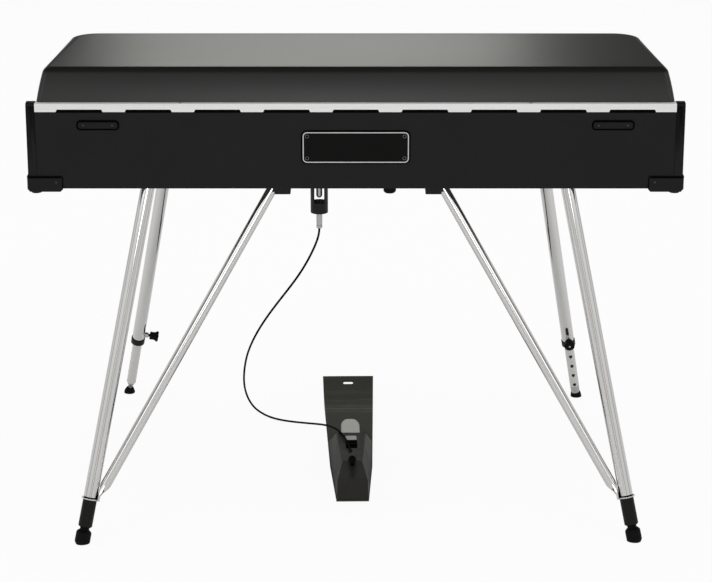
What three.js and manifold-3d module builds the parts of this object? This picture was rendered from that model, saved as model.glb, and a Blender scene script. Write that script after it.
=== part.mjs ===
// An electric stage piano on four chrome legs, with its sustain pedal, in millimetres.
// The floor is z = 0, the player sits on the -Y side and the rear panel faces +Y.
// Left and right are the player's.
import * as THREE from "three";
import { mergeVertices } from "three/addons/utils/BufferGeometryUtils.js";
import Module from "manifold-3d";

const wasm = await Module();
wasm.setup();

// Fits
const fit = 0.3; // gap between two pieces that touch
const overrun = 5; // how far a cut runs past the piece it cuts
const slotRounding = 0.45; // corner radius of a slot, as a share of its width

// Case
const caseWidth = 1153;
const caseDepth = 578;
const caseHeight = 153.8; // underside to the top of the rear rail
const caseLift = 637.8; // floor to the underside
const cheekThickness = 15.5;
const cheekRise = 6; // the cheeks stand this far above the rear rail
const cheekFrontHeight = 106;
const cheekPost = 12; // level top at the rear end of a cheek
const cheekSlopeRun = 118; // then it falls this far forwards
const cheekSlopeDrop = 37;
const cheekRounding = 5;
const boardThickness = 12;
const rearPanelThickness = 12;
const slipThickness = 20;
const slipHeight = 87;

// Rear rail
const railFace = 15.3; // height of its rear face
const railGauge = 2;
const railLipShow = 10.6; // lip left bare behind the hood
const railSeat = 8; // lip under the edge of the hood
const notchCount = 9;
const notchEnd = 77.8; // inside of the cheek to the middle of the first notch
const notchBridge = 40.5; // rail left between two notches
const notchHeight = 5.2;

// Plates on the rear panel
const nameplateWidth = 187.3;
const nameplateHeight = 56.3;
const nameplateGauge = 2.5;
const nameplateRounding = 8;
const nameplateDrop = 79; // case top to its centre
const sidePlateWidth = 73.3;
const sidePlateHeight = 16;
const sidePlateGauge = 1.6;
const sidePlateRounding = 7.2;
const sidePlateInset = 125.5; // case side to its centre
const sidePlateDrop = 38.9;

// Corner protectors
const cornerReach = 63;
const cornerHeight = 22.7; // up the case from its underside
const cornerWall = 2;
const cornerSole = 5.6;
const cornerChamfer = 5;
const cornerEndCut = 7.5; // slanted upper corner of each arm
const cornerLowCut = 4.5; // slanted lower corner of each arm
const nubWidth = 19;
const nubHeight = 1.8;
const nubInset = 5;

// Pieces under the case
const bracketWidth = 29;
const bracketLength = 50;
const bracketHeight = 24.6;
const leftBracketX = 139.5;
const rightBracketX = 130.5;
const bracketBack = 50; // rear panel to its rear face
const bracketRounding = 2.9;
const bumperDiameter = 22.5;
const bumperHeight = 19.8;
const bumperRounding = 6;
const bumperBulge = 1.8; // the rounding's middle, in from the sharp corner
const bumperX = -61;
const bumperBack = 45;
const flangeDiameter = 52;
const flangeThickness = 5.5;

// Name rail above the keys
const nameRailDepth = 20;
const nameRailSlant = 10;
const keyHeadroom = 5; // sharp tops to the rail's underside
const knobDiameter = 22;
const knobHeight = 15;
const knobSkirtHeight = 3;
const knobShoulderHeight = 4.5;
const knobShoulderRadius = 8.8;
const knobTopRadius = 8.4;
const knobShaft = 6;
const knobShaftDepth = 14;
const knobShaftRoom = 2; // behind the shaft's end
const knobInset = 70; // inside of the left cheek to the first knob
const knobPitch = 52;

// Hood
const hoodHeight = 58.7;
const hoodWall = 3.5;
const hoodSideGap = 3.5; // to the insides of the cheeks
const hoodLean = 12; // the rear and side walls lean in by this much
const hoodEdge = 8; // radius of the long rear edge
const hoodTaper = 26; // each side draws in further by this at the player's end
const hoodNose = 83; // depth of the curved end above the name rail
const hoodCorner = 9;
const hoodFarCorner = 25;
const skirtDrop = 48; // the hood's side skirts hang this far below its rim
const skirtGap = 2; // skirts to the name rail and to the rear rail's lip

// Keyboard
const whiteKeyCount = 43;
const endBlock = 55.75; // inside of the cheek to the keys
const keyGap = 1;
const keyShow = 150; // white key in front of the name rail
const keyTailBack = 224; // key tails to the rear panel's rear face
const keyTop = 95; // above the underside of the case
const keyThickness = 22;
const headLength = 50; // white key in front of the sharps
const sharpWidth = 11.9;
const sharpRise = 12;
const sharpSlope = 6;
const slipClearance = 4; // key slip to the keys
const keyEndClearance = 0.75;
const balanceToTail = 102; // balance rail to the key tails
const joinDepth = 22; // rear bar of a joined key block

// Works under the hood
const balanceRailWidth = 20;
const balanceCrestWidth = 8;
const balanceCrestHeight = 4;
const guideRailBack = 32;
const guideRailWidth = 20;
const keyDip = 10;
const hammerRailGap = 8; // key tails to the hammer rail
const hammerRailDepth = 26;
const hammerRailHeight = 82;
const damperBarDepth = 22;
const damperBarHeight = 8;
const damperBarLift = 81; // above the underside of the case
const damperPostInset = 161; // inside of the cheek to the post
const damperPostWidth = 16;
const harpLift = 118; // above the underside of the case
const harpThickness = 10;
const harpSideGap = 41; // inside of the cheek to the harp
const harpRail = 34;
const harpBarCount = 73;
const harpLongBar = 150;
const harpShortBar = 50;
const harpRearGap = 16;
const harpPostWidth = 14;

// Rear legs and braces
const legDiameter = 25;
const legWall = 2;
const leftRearLegSide = 199.5; // case side to the top of the leg
const rightRearLegSide = 207.9;
const rearLegBack = 60; // rear panel to the top of the leg
const leftRearFootSide = 70.9; // case side to the foot
const rightRearFootSide = 82.1;
const leftRearFootReach = 84; // the foot stands this far behind the rear panel
const rightRearFootReach = 94;
const tipRadius = 13.9;
const tipHeight = 25;
const tipSink = 2; // rubber below the foot's centre, flattened by the floor
const neckRadius = 8;
const neckHeight = 5;
const sleeveRadius = 11.9;
const sleeveHeight = 51;
const studRadius = 5.7;
const studHeight = 20;
const ringRadius = 15.4;
const ringThickness = 2.5;
const braceDiameter = 19;
const braceFlatWidth = 24;
const braceFlatThickness = 4.4;
const braceFlatLength = 24;
const braceBendLength = 34;
const braceSlotWidth = 3;
const braceSlotLength = 9;
const braceSeat = 13; // middle of a bracket to the brace
const braceTopGap = 10; // underside of the case to the top of the brace
const braceClearance = 2.9; // rear leg's skin to the brace's skin at the bend

// Front telescoping legs
const innerDiameter = 19;
const innerWall = 1.5;
const leftFrontLegSide = 222.3; // case side to the top of the leg
const rightFrontLegSide = 220.5;
const frontLegFront = 88; // front of the case to the top of the leg
const leftFrontFootSide = 112.4; // case side to the foot
const rightFrontFootSide = 99.1;
const leftFrontFootReach = 89; // the foot stands this far in front of the case
const rightFrontFootReach = 111;
const footRadius = 11.2;
const footTopRadius = 7.2;
const footHeight = 13;
const footRim = 4;
const footSink = 2;
const footNeckRadius = 4;
const footNeckHeight = 4.5;
const footConeHeight = 12; // metal cone between the neck and the tube
const plugHeight = 14;
const holeFirst = 35.5; // foot to the first hole
const holePitch = 24;
const holeCount = 10;
const holeDiameter = 6;
const pinHole = 6; // the pull knob's hole, counted from the foot
const collarRadius = 14;
const collarHeight = 13;
const collarStep = 3;
const collarDrop = 9; // pull knob's axis to the collar
const overlapLength = 150; // inner tube inside the outer one
const slotLength = 19;
const slotWidth = 4;
const slotGap = 8; // pull knob's axis to the slot
const stemRadius = 3;
const stemShow = 10; // outer tube to the pull knob
const bushRadius = 5.4;
const bushSink = 1.5; // into the outer tube's wall
const pullRadius = 11;
const pullLength = 18;
const pullWaistRadius = 8.4;
const pullRim = 5;
const pullEdge = 1.1;

// Pedal
const pedalX = 5.2;
const pedalBack = 97; // rear panel to the pedal's rear end
const pedalTurn = 1.03; // degrees
const plateGauge = 3;
const plateLength = 589.5;
const plateKink = 175; // rear end to the widest part of the housing
const plateRearHalf = 30.6;
const plateMidHalf = 41.3;
const plateFarHalf = 52.7;
const plateFlat = 487; // the plate lies flat this far
const plateCurl = 35; // then its far end curls up by this
const plateSlotWidth = 22;
const plateSlotLength = 8.4;
const plateSlotInset = 15.5;
const housingHeight = 57;
const housingRear = 45.7;
const housingWaist = 64;
const housingWaistHalf = 20;
const housingRearHalf = 28.8;
const housingFrontHalf = 29;
const housingFront = 211;
const housingLength = 296;
const housingLip = 3;
const housingInset = 1;
const housingBevel = 2;
const leverWidth = 36.4;
const leverThickness = 8;
const leverTop = 42;
const leverTip = 332; // pedal's rear end to the lever's tip
const leverPivot = 130; // pedal's rear end to the lever's pin
const leverTail = 25;
const leverRounding = 11;
const leverPinRadius = 4;
const leverPinSeat = 4;
const pocketRoom = 1; // beside the lever
const pocketTop = 46;
const pocketFloor = 8;
const recessWidth = 22;
const recessLength = 34;
const recessDepth = 5;
const recessStart = 129; // pedal's rear end to the recess
const bootLength = 28;
const bootStart = 62;
const bootRadius = 7;
const bootTipRadius = 3.2;
const bootAxis = 61.3;

// Actuator under the case
const actuatorX = 65.7;
const actuatorBack = 110;
const actuatorDiameter = 31.7;
const actuatorLength = 74.8;
const windowWidth = 18;
const windowTop = 8; // underside of the case to the window
const windowHeight = 46.4;
const plungerDiameter = 11;
const plungerEnd = 47.3; // underside of the case to the plunger's rounded end
const ferruleDiameter = 10.9;
const ferruleLength = 30;
const ferruleEdge = 1.5;
const ferruleBore = 4.8;
const cableDiameter = 4;

// The cable's route from the ferrule to the boot on the pedal
const cableRoute = [
  [65.9, 186.1, 532.4],
  [66.4, 185.9, 519],
  [74.5, 179.4, 496],
  [84.8, 167.9, 470.5],
  [99.5, 149.6, 439],
  [119.2, 125.6, 404],
  [139.3, 98.6, 370],
  [159.9, 65.6, 333],
  [178.5, 28.6, 295],
  [195.5, -14.4, 254],
  [209, -62.4, 211],
  [217.7, -108, 172.5],
  [225.5, -175, 113],
  [226, -233, 62],
  [216, -256, 26],
  [203, -264, 8.5],
  [187, -252, 2.6],
  [163, -226, 2.6],
  [131, -206, 5.5],
  [97, -163, 18],
  [69, -117, 34],
  [47, -66, 49],
  [30, -10, 60],
  [19.4, 32, 62],
  [12.2, 72, 61.5],
  [7, 108.5, 61.3],
];

// Counts
const roundSides = 24;
const smallSides = 16;
const arcSteps = 4;
const cableSides = 8;
const cableSteps = 80;

// Places worked out from the sizes above
const rearTipReach = rightRearFootReach +
  tipRadius * Math.hypot(1, (rearLegBack + rightRearFootReach) / caseLift);
const frontTipReach = rightFrontFootReach +
  footRadius * Math.hypot(1, (frontLegFront + rightFrontFootReach) / caseLift);
// The origin is on the floor, midway between the outer edges of the right front and rear feet.
const rearY = (caseDepth + frontTipReach - rearTipReach) / 2;
const frontY = rearY - caseDepth;
const caseTop = caseLift + caseHeight;
const halfCase = caseWidth / 2;
const halfInside = halfCase - cheekThickness;
const halfFitted = halfInside - fit;
const notchPitch = (2 * (halfInside - notchEnd)) / (notchCount - 1);
const notchWidth = notchPitch - notchBridge;
const keyPitch = (2 * (halfInside - endBlock)) / whiteKeyCount;
const keyLength = caseDepth - slipThickness - slipClearance - keyTailBack;
const harpWidth = 2 * (halfInside - harpSideGap);
const damperPostX = halfInside - damperPostInset;
const slipTop = caseLift + slipHeight;
const keyFront = frontY + slipThickness + slipClearance;
const keyTopZ = caseLift + keyTop;
const keyBottomZ = keyTopZ - keyThickness;
const nameRailFront = keyFront + keyShow;
const nameRailBack = nameRailFront + nameRailSlant + nameRailDepth;
const nameRailBottom = keyTopZ + sharpRise + keyHeadroom;
const nameRailTop = caseTop - fit;
const frameTop = caseLift + 2 * boardThickness;
const railLip = railLipShow + railSeat;
const hoodRear = rearY + railGauge + fit - railLipShow;
const hoodFront = nameRailBack - nameRailDepth / 2;
const halfHood = halfInside - hoodSideGap;
const tailY = keyFront + keyLength;
const balanceY = tailY - balanceToTail;
const pedalY = rearY - pedalBack;
const actuatorY = rearY - actuatorBack;
const damperZ = caseLift + damperBarLift;

const colours = {
  vinyl: [0x202020, 0.62, 0],
  hood: [0x2a2a28, 0.38, 0],
  aluminium: [0xd6d6d4, 0.35, 0.9],
  plate: [0x151515, 0.3, 0.2],
  chrome: [0xd0d0ce, 0.12, 1],
  steel: [0xa8a8a2, 0.3, 0.9],
  rubber: [0x1c1c1a, 0.75, 0],
  plastic: [0x242422, 0.5, 0],
  ivory: [0xf2efe4, 0.25, 0],
  ebony: [0x141414, 0.3, 0],
  wood: [0xb08a5a, 0.6, 0],
  lever: [0xa5a7a0, 0.3, 0.8],
};

// A closed geometry as a solid that can be cut and joined, its faces turned outwards.
function solidOf(geometry) {
  const bare = geometry.clone();
  bare.deleteAttribute("normal");
  bare.deleteAttribute("uv");
  const merged = mergeVertices(bare);
  const index = merged.index.array;
  const corners = [];
  for (let i = 0; i < index.length; i += 3) {
    const [a, b, c] = [index[i], index[i + 1], index[i + 2]];
    if (a !== b && b !== c && c !== a) corners.push([a, b, c]);
  }
  const make = (order) =>
    new wasm.Manifold(
      new wasm.Mesh({
        numProp: 3,
        vertProperties: new Float32Array(merged.attributes.position.array),
        triVerts: new Uint32Array(corners.flatMap(order)),
      }),
    );
  const made = make(([a, b, c]) => [a, b, c]);
  return made.volume() > 0 ? made : make(([a, b, c]) => [a, c, b]);
}

// A solid as a geometry for a mesh.
function geometryOf(solid) {
  const mesh = solid.getMesh();
  const geometry = new THREE.BufferGeometry();
  geometry.setAttribute("position", new THREE.BufferAttribute(mesh.vertProperties, 3));
  geometry.setIndex(new THREE.BufferAttribute(mesh.triVerts, 1));
  geometry.computeVertexNormals();
  return geometry;
}

function joined(first, ...others) {
  return others.reduce((sum, other) => sum.add(other), first);
}

function cut(first, ...others) {
  return others.reduce((rest, other) => rest.subtract(other), first);
}

// A box between two corners.
function box(x0, x1, y0, y1, z0, z1) {
  const geometry = new THREE.BoxGeometry(x1 - x0, y1 - y0, z1 - z0);
  return solidOf(geometry.translate((x0 + x1) / 2, (y0 + y1) / 2, (z0 + z1) / 2));
}

// An outline carried along one axis. Its points are (y, z) for x, (z, x) for y and (x, y) for z.
function prism(axis, outline, from, to) {
  const shape = Array.isArray(outline)
    ? new THREE.Shape(outline.map(([u, v]) => new THREE.Vector2(u, v)))
    : outline;
  const geometry = new THREE.ExtrudeGeometry(shape, {
    depth: to - from,
    bevelEnabled: false,
    curveSegments: arcSteps,
  });
  geometry.translate(0, 0, from);
  const [x, y, z] = [0, 1, 2].map((i) => new THREE.Vector3().setComponent(i, 1));
  const bases = { x: [y, z, x], y: [z, x, y], z: [x, y, z] };
  geometry.applyMatrix4(new THREE.Matrix4().makeBasis(...bases[axis]));
  return solidOf(geometry);
}

// A rectangle about a centre with rounded corners.
function roundedOutline(width, height, radius, u = 0, v = 0) {
  const shape = new THREE.Shape();
  const [w, h] = [width / 2 - radius, height / 2 - radius];
  [
    [w, -h],
    [w, h],
    [-w, h],
    [-w, -h],
  ].forEach(([du, dv], i) => {
    const start = ((i - 1) * Math.PI) / 2;
    shape.absarc(u + du, v + dv, radius, start, start + Math.PI / 2, false);
  });
  shape.closePath();
  return shape;
}

// A turned piece about the Z axis, from (radius, height) points listed upwards.
function turned(profile, sides = roundSides) {
  const points = profile.map(([r, z]) => new THREE.Vector2(r, z));
  return solidOf(new THREE.LatheGeometry(points, sides).rotateX(Math.PI / 2));
}

function rod(radius, z0, z1, sides = roundSides) {
  const profile = [
    [0, z0],
    [radius, z0],
    [radius, z1],
    [0, z1],
  ];
  return turned(profile, sides);
}

function tube(radius, bore, z0, z1) {
  return cut(rod(radius, z0, z1), rod(bore, z0 - overrun, z1 + overrun));
}

// Moves a solid by way of its geometry, with a three.js matrix.
function moved(solid, matrix) {
  return solidOf(geometryOf(solid).applyMatrix4(matrix));
}

function shifted(solid, x, y, z) {
  return moved(solid, new THREE.Matrix4().makeTranslation(x, y, z));
}

// Rings with equal numbers of points, joined into a skin with flat ends.
function skin(rings) {
  const count = rings[0].length;
  const points = rings.flat();
  const faces = [];
  for (let r = 0; r + 1 < rings.length; r++) {
    for (let i = 0; i < count; i++) {
      const [a, b] = [r * count + i, r * count + ((i + 1) % count)];
      faces.push([a, b, b + count], [a, b + count, a + count]);
    }
  }
  [rings[0], rings.at(-1)].forEach((ring, end) => {
    const middle = ring.reduce((sum, p) => sum.add(p), new THREE.Vector3());
    points.push(middle.divideScalar(count));
    const first = end * (rings.length - 1) * count;
    for (let i = 0; i < count; i++) {
      const [a, b] = [first + i, first + ((i + 1) % count)];
      faces.push(end ? [points.length - 1, a, b] : [points.length - 1, b, a]);
    }
  });
  const geometry = new THREE.BufferGeometry().setFromPoints(points);
  return solidOf(geometry.setIndex(faces.flat()));
}

const piano = new THREE.Group();

// Adds one named piece to a group.
function piece(group, name, solid, look) {
  const [color, roughness, metalness] = colours[look];
  const material = new THREE.MeshStandardMaterial({ color, roughness, metalness });
  const mesh = new THREE.Mesh(geometryOf(solid), material);
  mesh.name = name;
  group.add(mesh);
}

function sides(make) {
  make("left", -1);
  make("right", 1);
}

// Panels of the case
function makeCase() {
  const group = new THREE.Group();
  const inner = rearY - rearPanelThickness;
  const board = box(-halfFitted, halfFitted, frontY + slipThickness + fit, inner - fit, caseLift,
    caseLift + boardThickness);
  const flanges = [
    [leftRearLegSide - halfCase, rearY - rearLegBack],
    [halfCase - rightRearLegSide, rearY - rearLegBack],
    [leftFrontLegSide - halfCase, frontY + frontLegFront],
    [halfCase - rightFrontLegSide, frontY + frontLegFront],
  ].map(([x, y]) =>
    shifted(rod(flangeDiameter / 2, -flangeThickness, boardThickness / 2), x, y, caseLift));
  const wireHole = shifted(rod(plungerDiameter / 2 + 1.5 * fit, -overrun, boardThickness + overrun),
    actuatorX, actuatorY, caseLift);
  piece(group, "bottom_board", cut(joined(board, ...flanges), wireHole), "vinyl");
  const panelTop = caseTop - railGauge - fit;
  piece(group, "rear_panel", box(-halfFitted, halfFitted, inner, rearY, caseLift, panelTop), "vinyl");

  const cheekTop = caseTop + cheekRise;
  const cheek = new THREE.Shape();
  cheek.moveTo(frontY, caseLift);
  cheek.lineTo(rearY, caseLift);
  cheek.lineTo(rearY, cheekTop - cheekRounding);
  cheek.absarc(rearY - cheekRounding, cheekTop - cheekRounding, cheekRounding, 0, Math.PI / 2, false);
  cheek.lineTo(rearY - cheekPost, cheekTop);
  cheek.lineTo(rearY - cheekPost - cheekSlopeRun, cheekTop - cheekSlopeDrop);
  cheek.lineTo(frontY + cheekRounding, caseLift + cheekFrontHeight);
  cheek.lineTo(frontY, caseLift + cheekFrontHeight - cheekRounding / 2);
  sides((hand, side) => {
    const [from, to] = [side * halfInside, side * halfCase].sort((a, b) => a - b);
    piece(group, `${hand}_cheek`, prism("x", cheek, from, to), "vinyl");
  });

  const keysHalf = (keyPitch * whiteKeyCount) / 2 + keyEndClearance;
  const blockBack = nameRailFront - fit;
  const slip = box(-halfFitted, halfFitted, frontY, frontY + slipThickness, caseLift, slipTop);
  const block = new THREE.Shape();
  block.moveTo(frontY + slipThickness - fit, frameTop + fit);
  block.lineTo(blockBack, frameTop + fit);
  block.lineTo(blockBack, nameRailBottom);
  block.quadraticCurveTo(blockBack - cheekRounding, keyTopZ, keyFront + headLength, keyTopZ);
  block.lineTo(frontY + slipThickness - fit, slipTop);
  const blocks = [-1, 1].map((side) => {
    const [from, to] = [side * keysHalf, side * halfFitted].sort((a, b) => a - b);
    return prism("x", block, from, to);
  });
  piece(group, "key_slip", joined(slip, ...blocks), "vinyl");
  return group;
}

// Notched rail along the rear top edge; the hood stands on its lip
function makeRearRail(group) {
  const face = rearY + fit;
  const angle = [
    [face, caseTop - railFace],
    [face + railGauge, caseTop - railFace],
    [face + railGauge, caseTop],
    [face + railGauge - railLip, caseTop],
    [face + railGauge - railLip, caseTop - railGauge],
    [face, caseTop - railGauge],
  ];
  const low = caseTop - railFace;
  const notches = Array.from({ length: notchCount }, (_, i) => {
    const x = (i - (notchCount - 1) / 2) * notchPitch;
    const outline = [
      [low - overrun, x - notchWidth / 2],
      [low, x - notchWidth / 2],
      [low + notchHeight, x - notchWidth / 2 + notchHeight],
      [low + notchHeight, x + notchWidth / 2 - notchHeight],
      [low, x + notchWidth / 2],
      [low - overrun, x + notchWidth / 2],
    ];
    return prism("y", outline, face - overrun, face + railGauge + overrun);
  });
  piece(group, "rear_rail", cut(prism("x", angle, -halfFitted, halfFitted), ...notches), "aluminium");
}

// Bare nameplate and the two side plates on the rear panel
function makePlates(group) {
  const back = rearY + fit;
  const nameplate = roundedOutline(nameplateHeight, nameplateWidth, nameplateRounding,
    caseTop - nameplateDrop, 0);
  piece(group, "nameplate", prism("y", nameplate, back, back + nameplateGauge), "plate");
  sides((hand, side) => {
    const outline = roundedOutline(sidePlateHeight, sidePlateWidth, sidePlateRounding,
      caseTop - sidePlateDrop, side * (halfCase - sidePlateInset));
    piece(group, `${hand}_side_plate`, prism("y", outline, back, back + sidePlateGauge), "plastic");
  });
}

// Slanted cuts at the end of one arm of a corner protector, at x or at y, whichever isn't zero
function cornerWedges(x, y, away) {
  const far = halfCase + cornerReach;
  const [low, high] = [caseLift - cornerSole, caseLift + cornerHeight];
  const at = x || y;
  const inwards = x ? -1 : -away;
  const wedge = (edge, size, up) => {
    const points = [
      [edge + up * overrun, at + inwards * overrun],
      [edge + up * overrun, at - inwards * (size + overrun)],
      [edge - up * (size + overrun), at + inwards * overrun],
    ];
    return x
      ? prism("y", points, -far, far)
      : prism("x", points.map(([z, v]) => [v, z]), -far, far);
  };
  return [wedge(high, cornerEndCut, 1), wedge(low, cornerLowCut, -1)];
}

// Corner protectors, each a cup round a lower corner with a nub under it
function makeCorners(group) {
  const outX = halfCase + fit + cornerWall;
  const low = caseLift - cornerSole;
  [
    ["rear", rearY, 1],
    ["front", frontY, -1],
  ].forEach(([end, faceY, away]) => {
    const outY = faceY + away * (fit + cornerWall);
    const plan = new THREE.Shape();
    plan.moveTo(outX - cornerReach, outY);
    plan.lineTo(outX - cornerReach, outY - away * cornerReach);
    plan.lineTo(outX, outY - away * cornerReach);
    plan.lineTo(outX, outY - away * cornerWall);
    plan.lineTo(outX - cornerWall, outY);
    const cup = prism("z", plan, low, caseLift + cornerHeight);
    const [y0, y1] = [faceY + away * fit, faceY - away * (cornerReach + overrun)].sort((a, b) => a - b);
    const hollow = box(outX - cornerReach - overrun, halfCase + fit, y0, y1, caseLift - fit,
      caseLift + cornerHeight + overrun);
    const bevel = prism(
      "y",
      [
        [low - overrun, outX - cornerChamfer - overrun],
        [low - overrun, outX + overrun],
        [low + cornerChamfer + overrun, outX + overrun],
      ],
      outY - cornerReach - overrun,
      outY + cornerReach + overrun,
    );
    const ends = [
      [outX - cornerReach, 0],
      [0, outY - away * cornerReach],
    ].flatMap(([x, y]) => cornerWedges(x, y, away));
    const nubX = outX - nubInset - nubWidth / 2;
    const nubY = outY - away * (nubInset + nubWidth / 2);
    const nub = shifted(rod(nubWidth / 2, -nubHeight, cornerSole / 2, smallSides), nubX, nubY, low);
    const corner = joined(cut(cup, hollow, bevel, ...ends), nub);
    piece(group, `${end}_right_corner`, corner, "rubber");
    const mirror = new THREE.Matrix4().makeScale(-1, 1, 1);
    piece(group, `${end}_left_corner`, moved(corner, mirror), "rubber");
  });
}

// Brace brackets and the bumper under the case
function makeUnderside(group) {
  const top = caseLift - fit;
  const rear = rearY - bracketBack;
  sides((hand, side) => {
    const outline = roundedOutline(bracketWidth, bracketLength, bracketRounding,
      side * bracketX(side), rear - bracketLength / 2);
    const block = prism("z", outline, caseLift - bracketHeight, top);
    const leg = rearLegPlaces(side);
    const end = bracePlaces(leg);
    const room = moved(rod(braceDiameter / 2 + fit, -bracketLength, fit), legGroup(
      end.target, end.target.clone().add(end.run), new THREE.Vector3(0, 1, 0)).matrix);
    piece(group, `${hand}_brace_bracket`, cut(block, room), "plastic");
  });
  const r = bumperDiameter / 2;
  const bumper = turned([
    [0, -bumperHeight],
    [r - bumperRounding, -bumperHeight],
    [r - bumperBulge, -bumperHeight + bumperBulge],
    [r, -bumperHeight + bumperRounding],
    [r, -fit],
    [0, -fit],
  ]);
  const at = [bumperX, rearY - bumperBack, caseLift];
  piece(group, "underside_bumper", shifted(bumper, ...at), "rubber");
}

// Aluminium name rail above the keys, with two knobs on its left
function makeNameRail(group) {
  const section = [
    [nameRailFront, nameRailBottom],
    [nameRailBack, nameRailBottom],
    [nameRailBack, nameRailTop],
    [nameRailFront + nameRailSlant, nameRailTop],
  ];
  const tilt = Math.atan2(nameRailSlant, nameRailTop - nameRailBottom);
  const middle = new THREE.Vector3(0, nameRailFront + nameRailSlant / 2,
    (nameRailBottom + nameRailTop) / 2);
  const holes = [];
  const knobs = ["volume_knob", "bass_knob"].map((name, i) => {
    const knob = new THREE.Group();
    knob.position.copy(middle).setX(-halfInside + knobInset + i * knobPitch);
    knob.rotation.x = Math.PI / 2 - tilt;
    knob.updateMatrix();
    const shaft = rod(knobShaft / 2, -knobShaftDepth, fit, smallSides);
    const grip = turned([
      [0, fit],
      [knobDiameter / 2, fit],
      [knobDiameter / 2, knobSkirtHeight],
      [knobShoulderRadius, knobShoulderHeight],
      [knobTopRadius, knobHeight],
      [0, knobHeight],
    ]);
    holes.push(moved(rod(knobShaft / 2 + fit, -knobShaftDepth - knobShaftRoom, overrun), knob.matrix));
    piece(knob, name, joined(shaft, grip), "plastic");
    return knob;
  });
  const rail = cut(prism("x", section, -halfFitted, halfFitted), ...holes);
  piece(group, "name_rail", rail, "aluminium");
  group.add(...knobs);
}

// One level of the hood, a four-cornered outline whose corners are rounded.
// rise is the share of the full height; wall draws the whole level in for the inner skin.
function hoodLevel(rise, wall) {
  const height = hoodHeight * rise;
  const bend = Math.min(hoodEdge, Math.max(0, height - (hoodHeight - hoodEdge)));
  const side = wall + hoodLean * rise + hoodEdge - Math.sqrt(hoodEdge ** 2 - bend ** 2);
  const nose = wall + hoodNose * (1 - Math.sqrt(Math.max(0, 1 - rise ** 2)));
  const rearHalf = halfHood - side;
  const frontHalf = rearHalf - hoodTaper * rise;
  const [rear, front] = [hoodRear - side, hoodFront + nose];
  const farRadius = hoodCorner + (hoodFarCorner - hoodCorner) * rise;
  const corners = [
    [rearHalf, rear, hoodCorner, 0],
    [-rearHalf, rear, hoodCorner, 1],
    [-frontHalf, front, farRadius, 2],
    [frontHalf, front, farRadius, 3],
  ];
  const z = caseTop + fit + height * (1 - wall / hoodHeight);
  return corners.flatMap(([x, y, radius, quarter]) => {
    const centre = new THREE.Vector3(x - Math.sign(x) * radius, y + (quarter < 2 ? -radius : radius), z);
    return Array.from({ length: arcSteps + 1 }, (_, i) => {
      const angle = (Math.PI / 2) * (quarter + i / arcSteps);
      return centre.clone().add(new THREE.Vector3(Math.cos(angle), Math.sin(angle), 0).multiplyScalar(radius));
    });
  });
}

// Lift-off hood, a thin shell that is open underneath
function makeHood() {
  const straight = 1 - hoodEdge / hoodHeight;
  const rises = [0, 0.35 * straight, 0.7 * straight, straight];
  for (let i = 1; i <= arcSteps; i++) {
    rises.push(straight + (1 - straight) * Math.sin((Math.PI / 2) * (i / arcSteps)));
  }
  const outer = skin(rises.map((rise) => hoodLevel(rise, 0)));
  const inner = skin(rises.map((rise) => hoodLevel(rise, hoodWall)));
  const rim = skin([-1, 1].map((end) =>
    hoodLevel(0, hoodWall).map((p) => p.clone().setZ(p.z + end * fit))));
  const skirtRear = rearY + fit + railGauge - railLip - skirtGap;
  const skirts = [-1, 1].map((side) => {
    const [from, to] = [side * (halfHood - hoodWall), side * halfHood].sort((a, b) => a - b);
    return box(from, to, nameRailBack + skirtGap, skirtRear, caseTop - skirtDrop, caseTop + 2 * fit);
  });
  const group = new THREE.Group();
  piece(group, "hood", joined(cut(outer, inner, rim), ...skirts), "hood");
  return group;
}

// Keys of one group between two neighbouring white keys without a sharp, from the left.
// The tails and the sharps share the group's width.
function keyGroup(letters, start) {
  const width = letters.length * keyPitch;
  const slot = sharpWidth + keyGap;
  const tail = (width - (letters.length - 1) * slot) / letters.length;
  const half = keyGap / 2;
  const shoulder = keyFront + headLength;
  const keys = [];
  [...letters].forEach((letter, i) => {
    const [head0, head1] = [start + i * keyPitch + half, start + (i + 1) * keyPitch - half];
    const tail0 = start + i * (tail + slot) + half;
    const tail1 = start + i * (tail + slot) + tail - half;
    const outline = [
      [head0, keyFront],
      [head1, keyFront],
      [head1, shoulder],
      [tail1, shoulder],
      [tail1, tailY],
      [tail0, tailY],
      [tail0, shoulder],
      [head0, shoulder],
    ].filter(([x, y], n, all) => {
      const [px, py] = all[(n + all.length - 1) % all.length];
      return Math.hypot(x - px, y - py) > half / 10;
    });
    keys.push({ name: `key_${letter}`, look: "ivory", from: tail0, to: tail1,
      solid: prism("z", outline, keyBottomZ, keyTopZ) });
    if (i + 1 < letters.length) {
      const sharp = [
        [shoulder + keyGap, keyBottomZ],
        [tailY, keyBottomZ],
        [tailY, keyTopZ],
        [nameRailBack, keyTopZ],
        [nameRailBack, keyTopZ + sharpRise],
        [shoulder + keyGap + sharpSlope, keyTopZ + sharpRise],
        [shoulder + keyGap, keyTopZ],
      ];
      const from = start + (i + 1) * tail + i * slot + half;
      keys.push({ name: `key_${letter}_sharp`, look: "ebony", from, to: from + sharpWidth,
        solid: prism("x", sharp, from, from + sharpWidth) });
    }
  });
  return keys;
}

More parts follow.
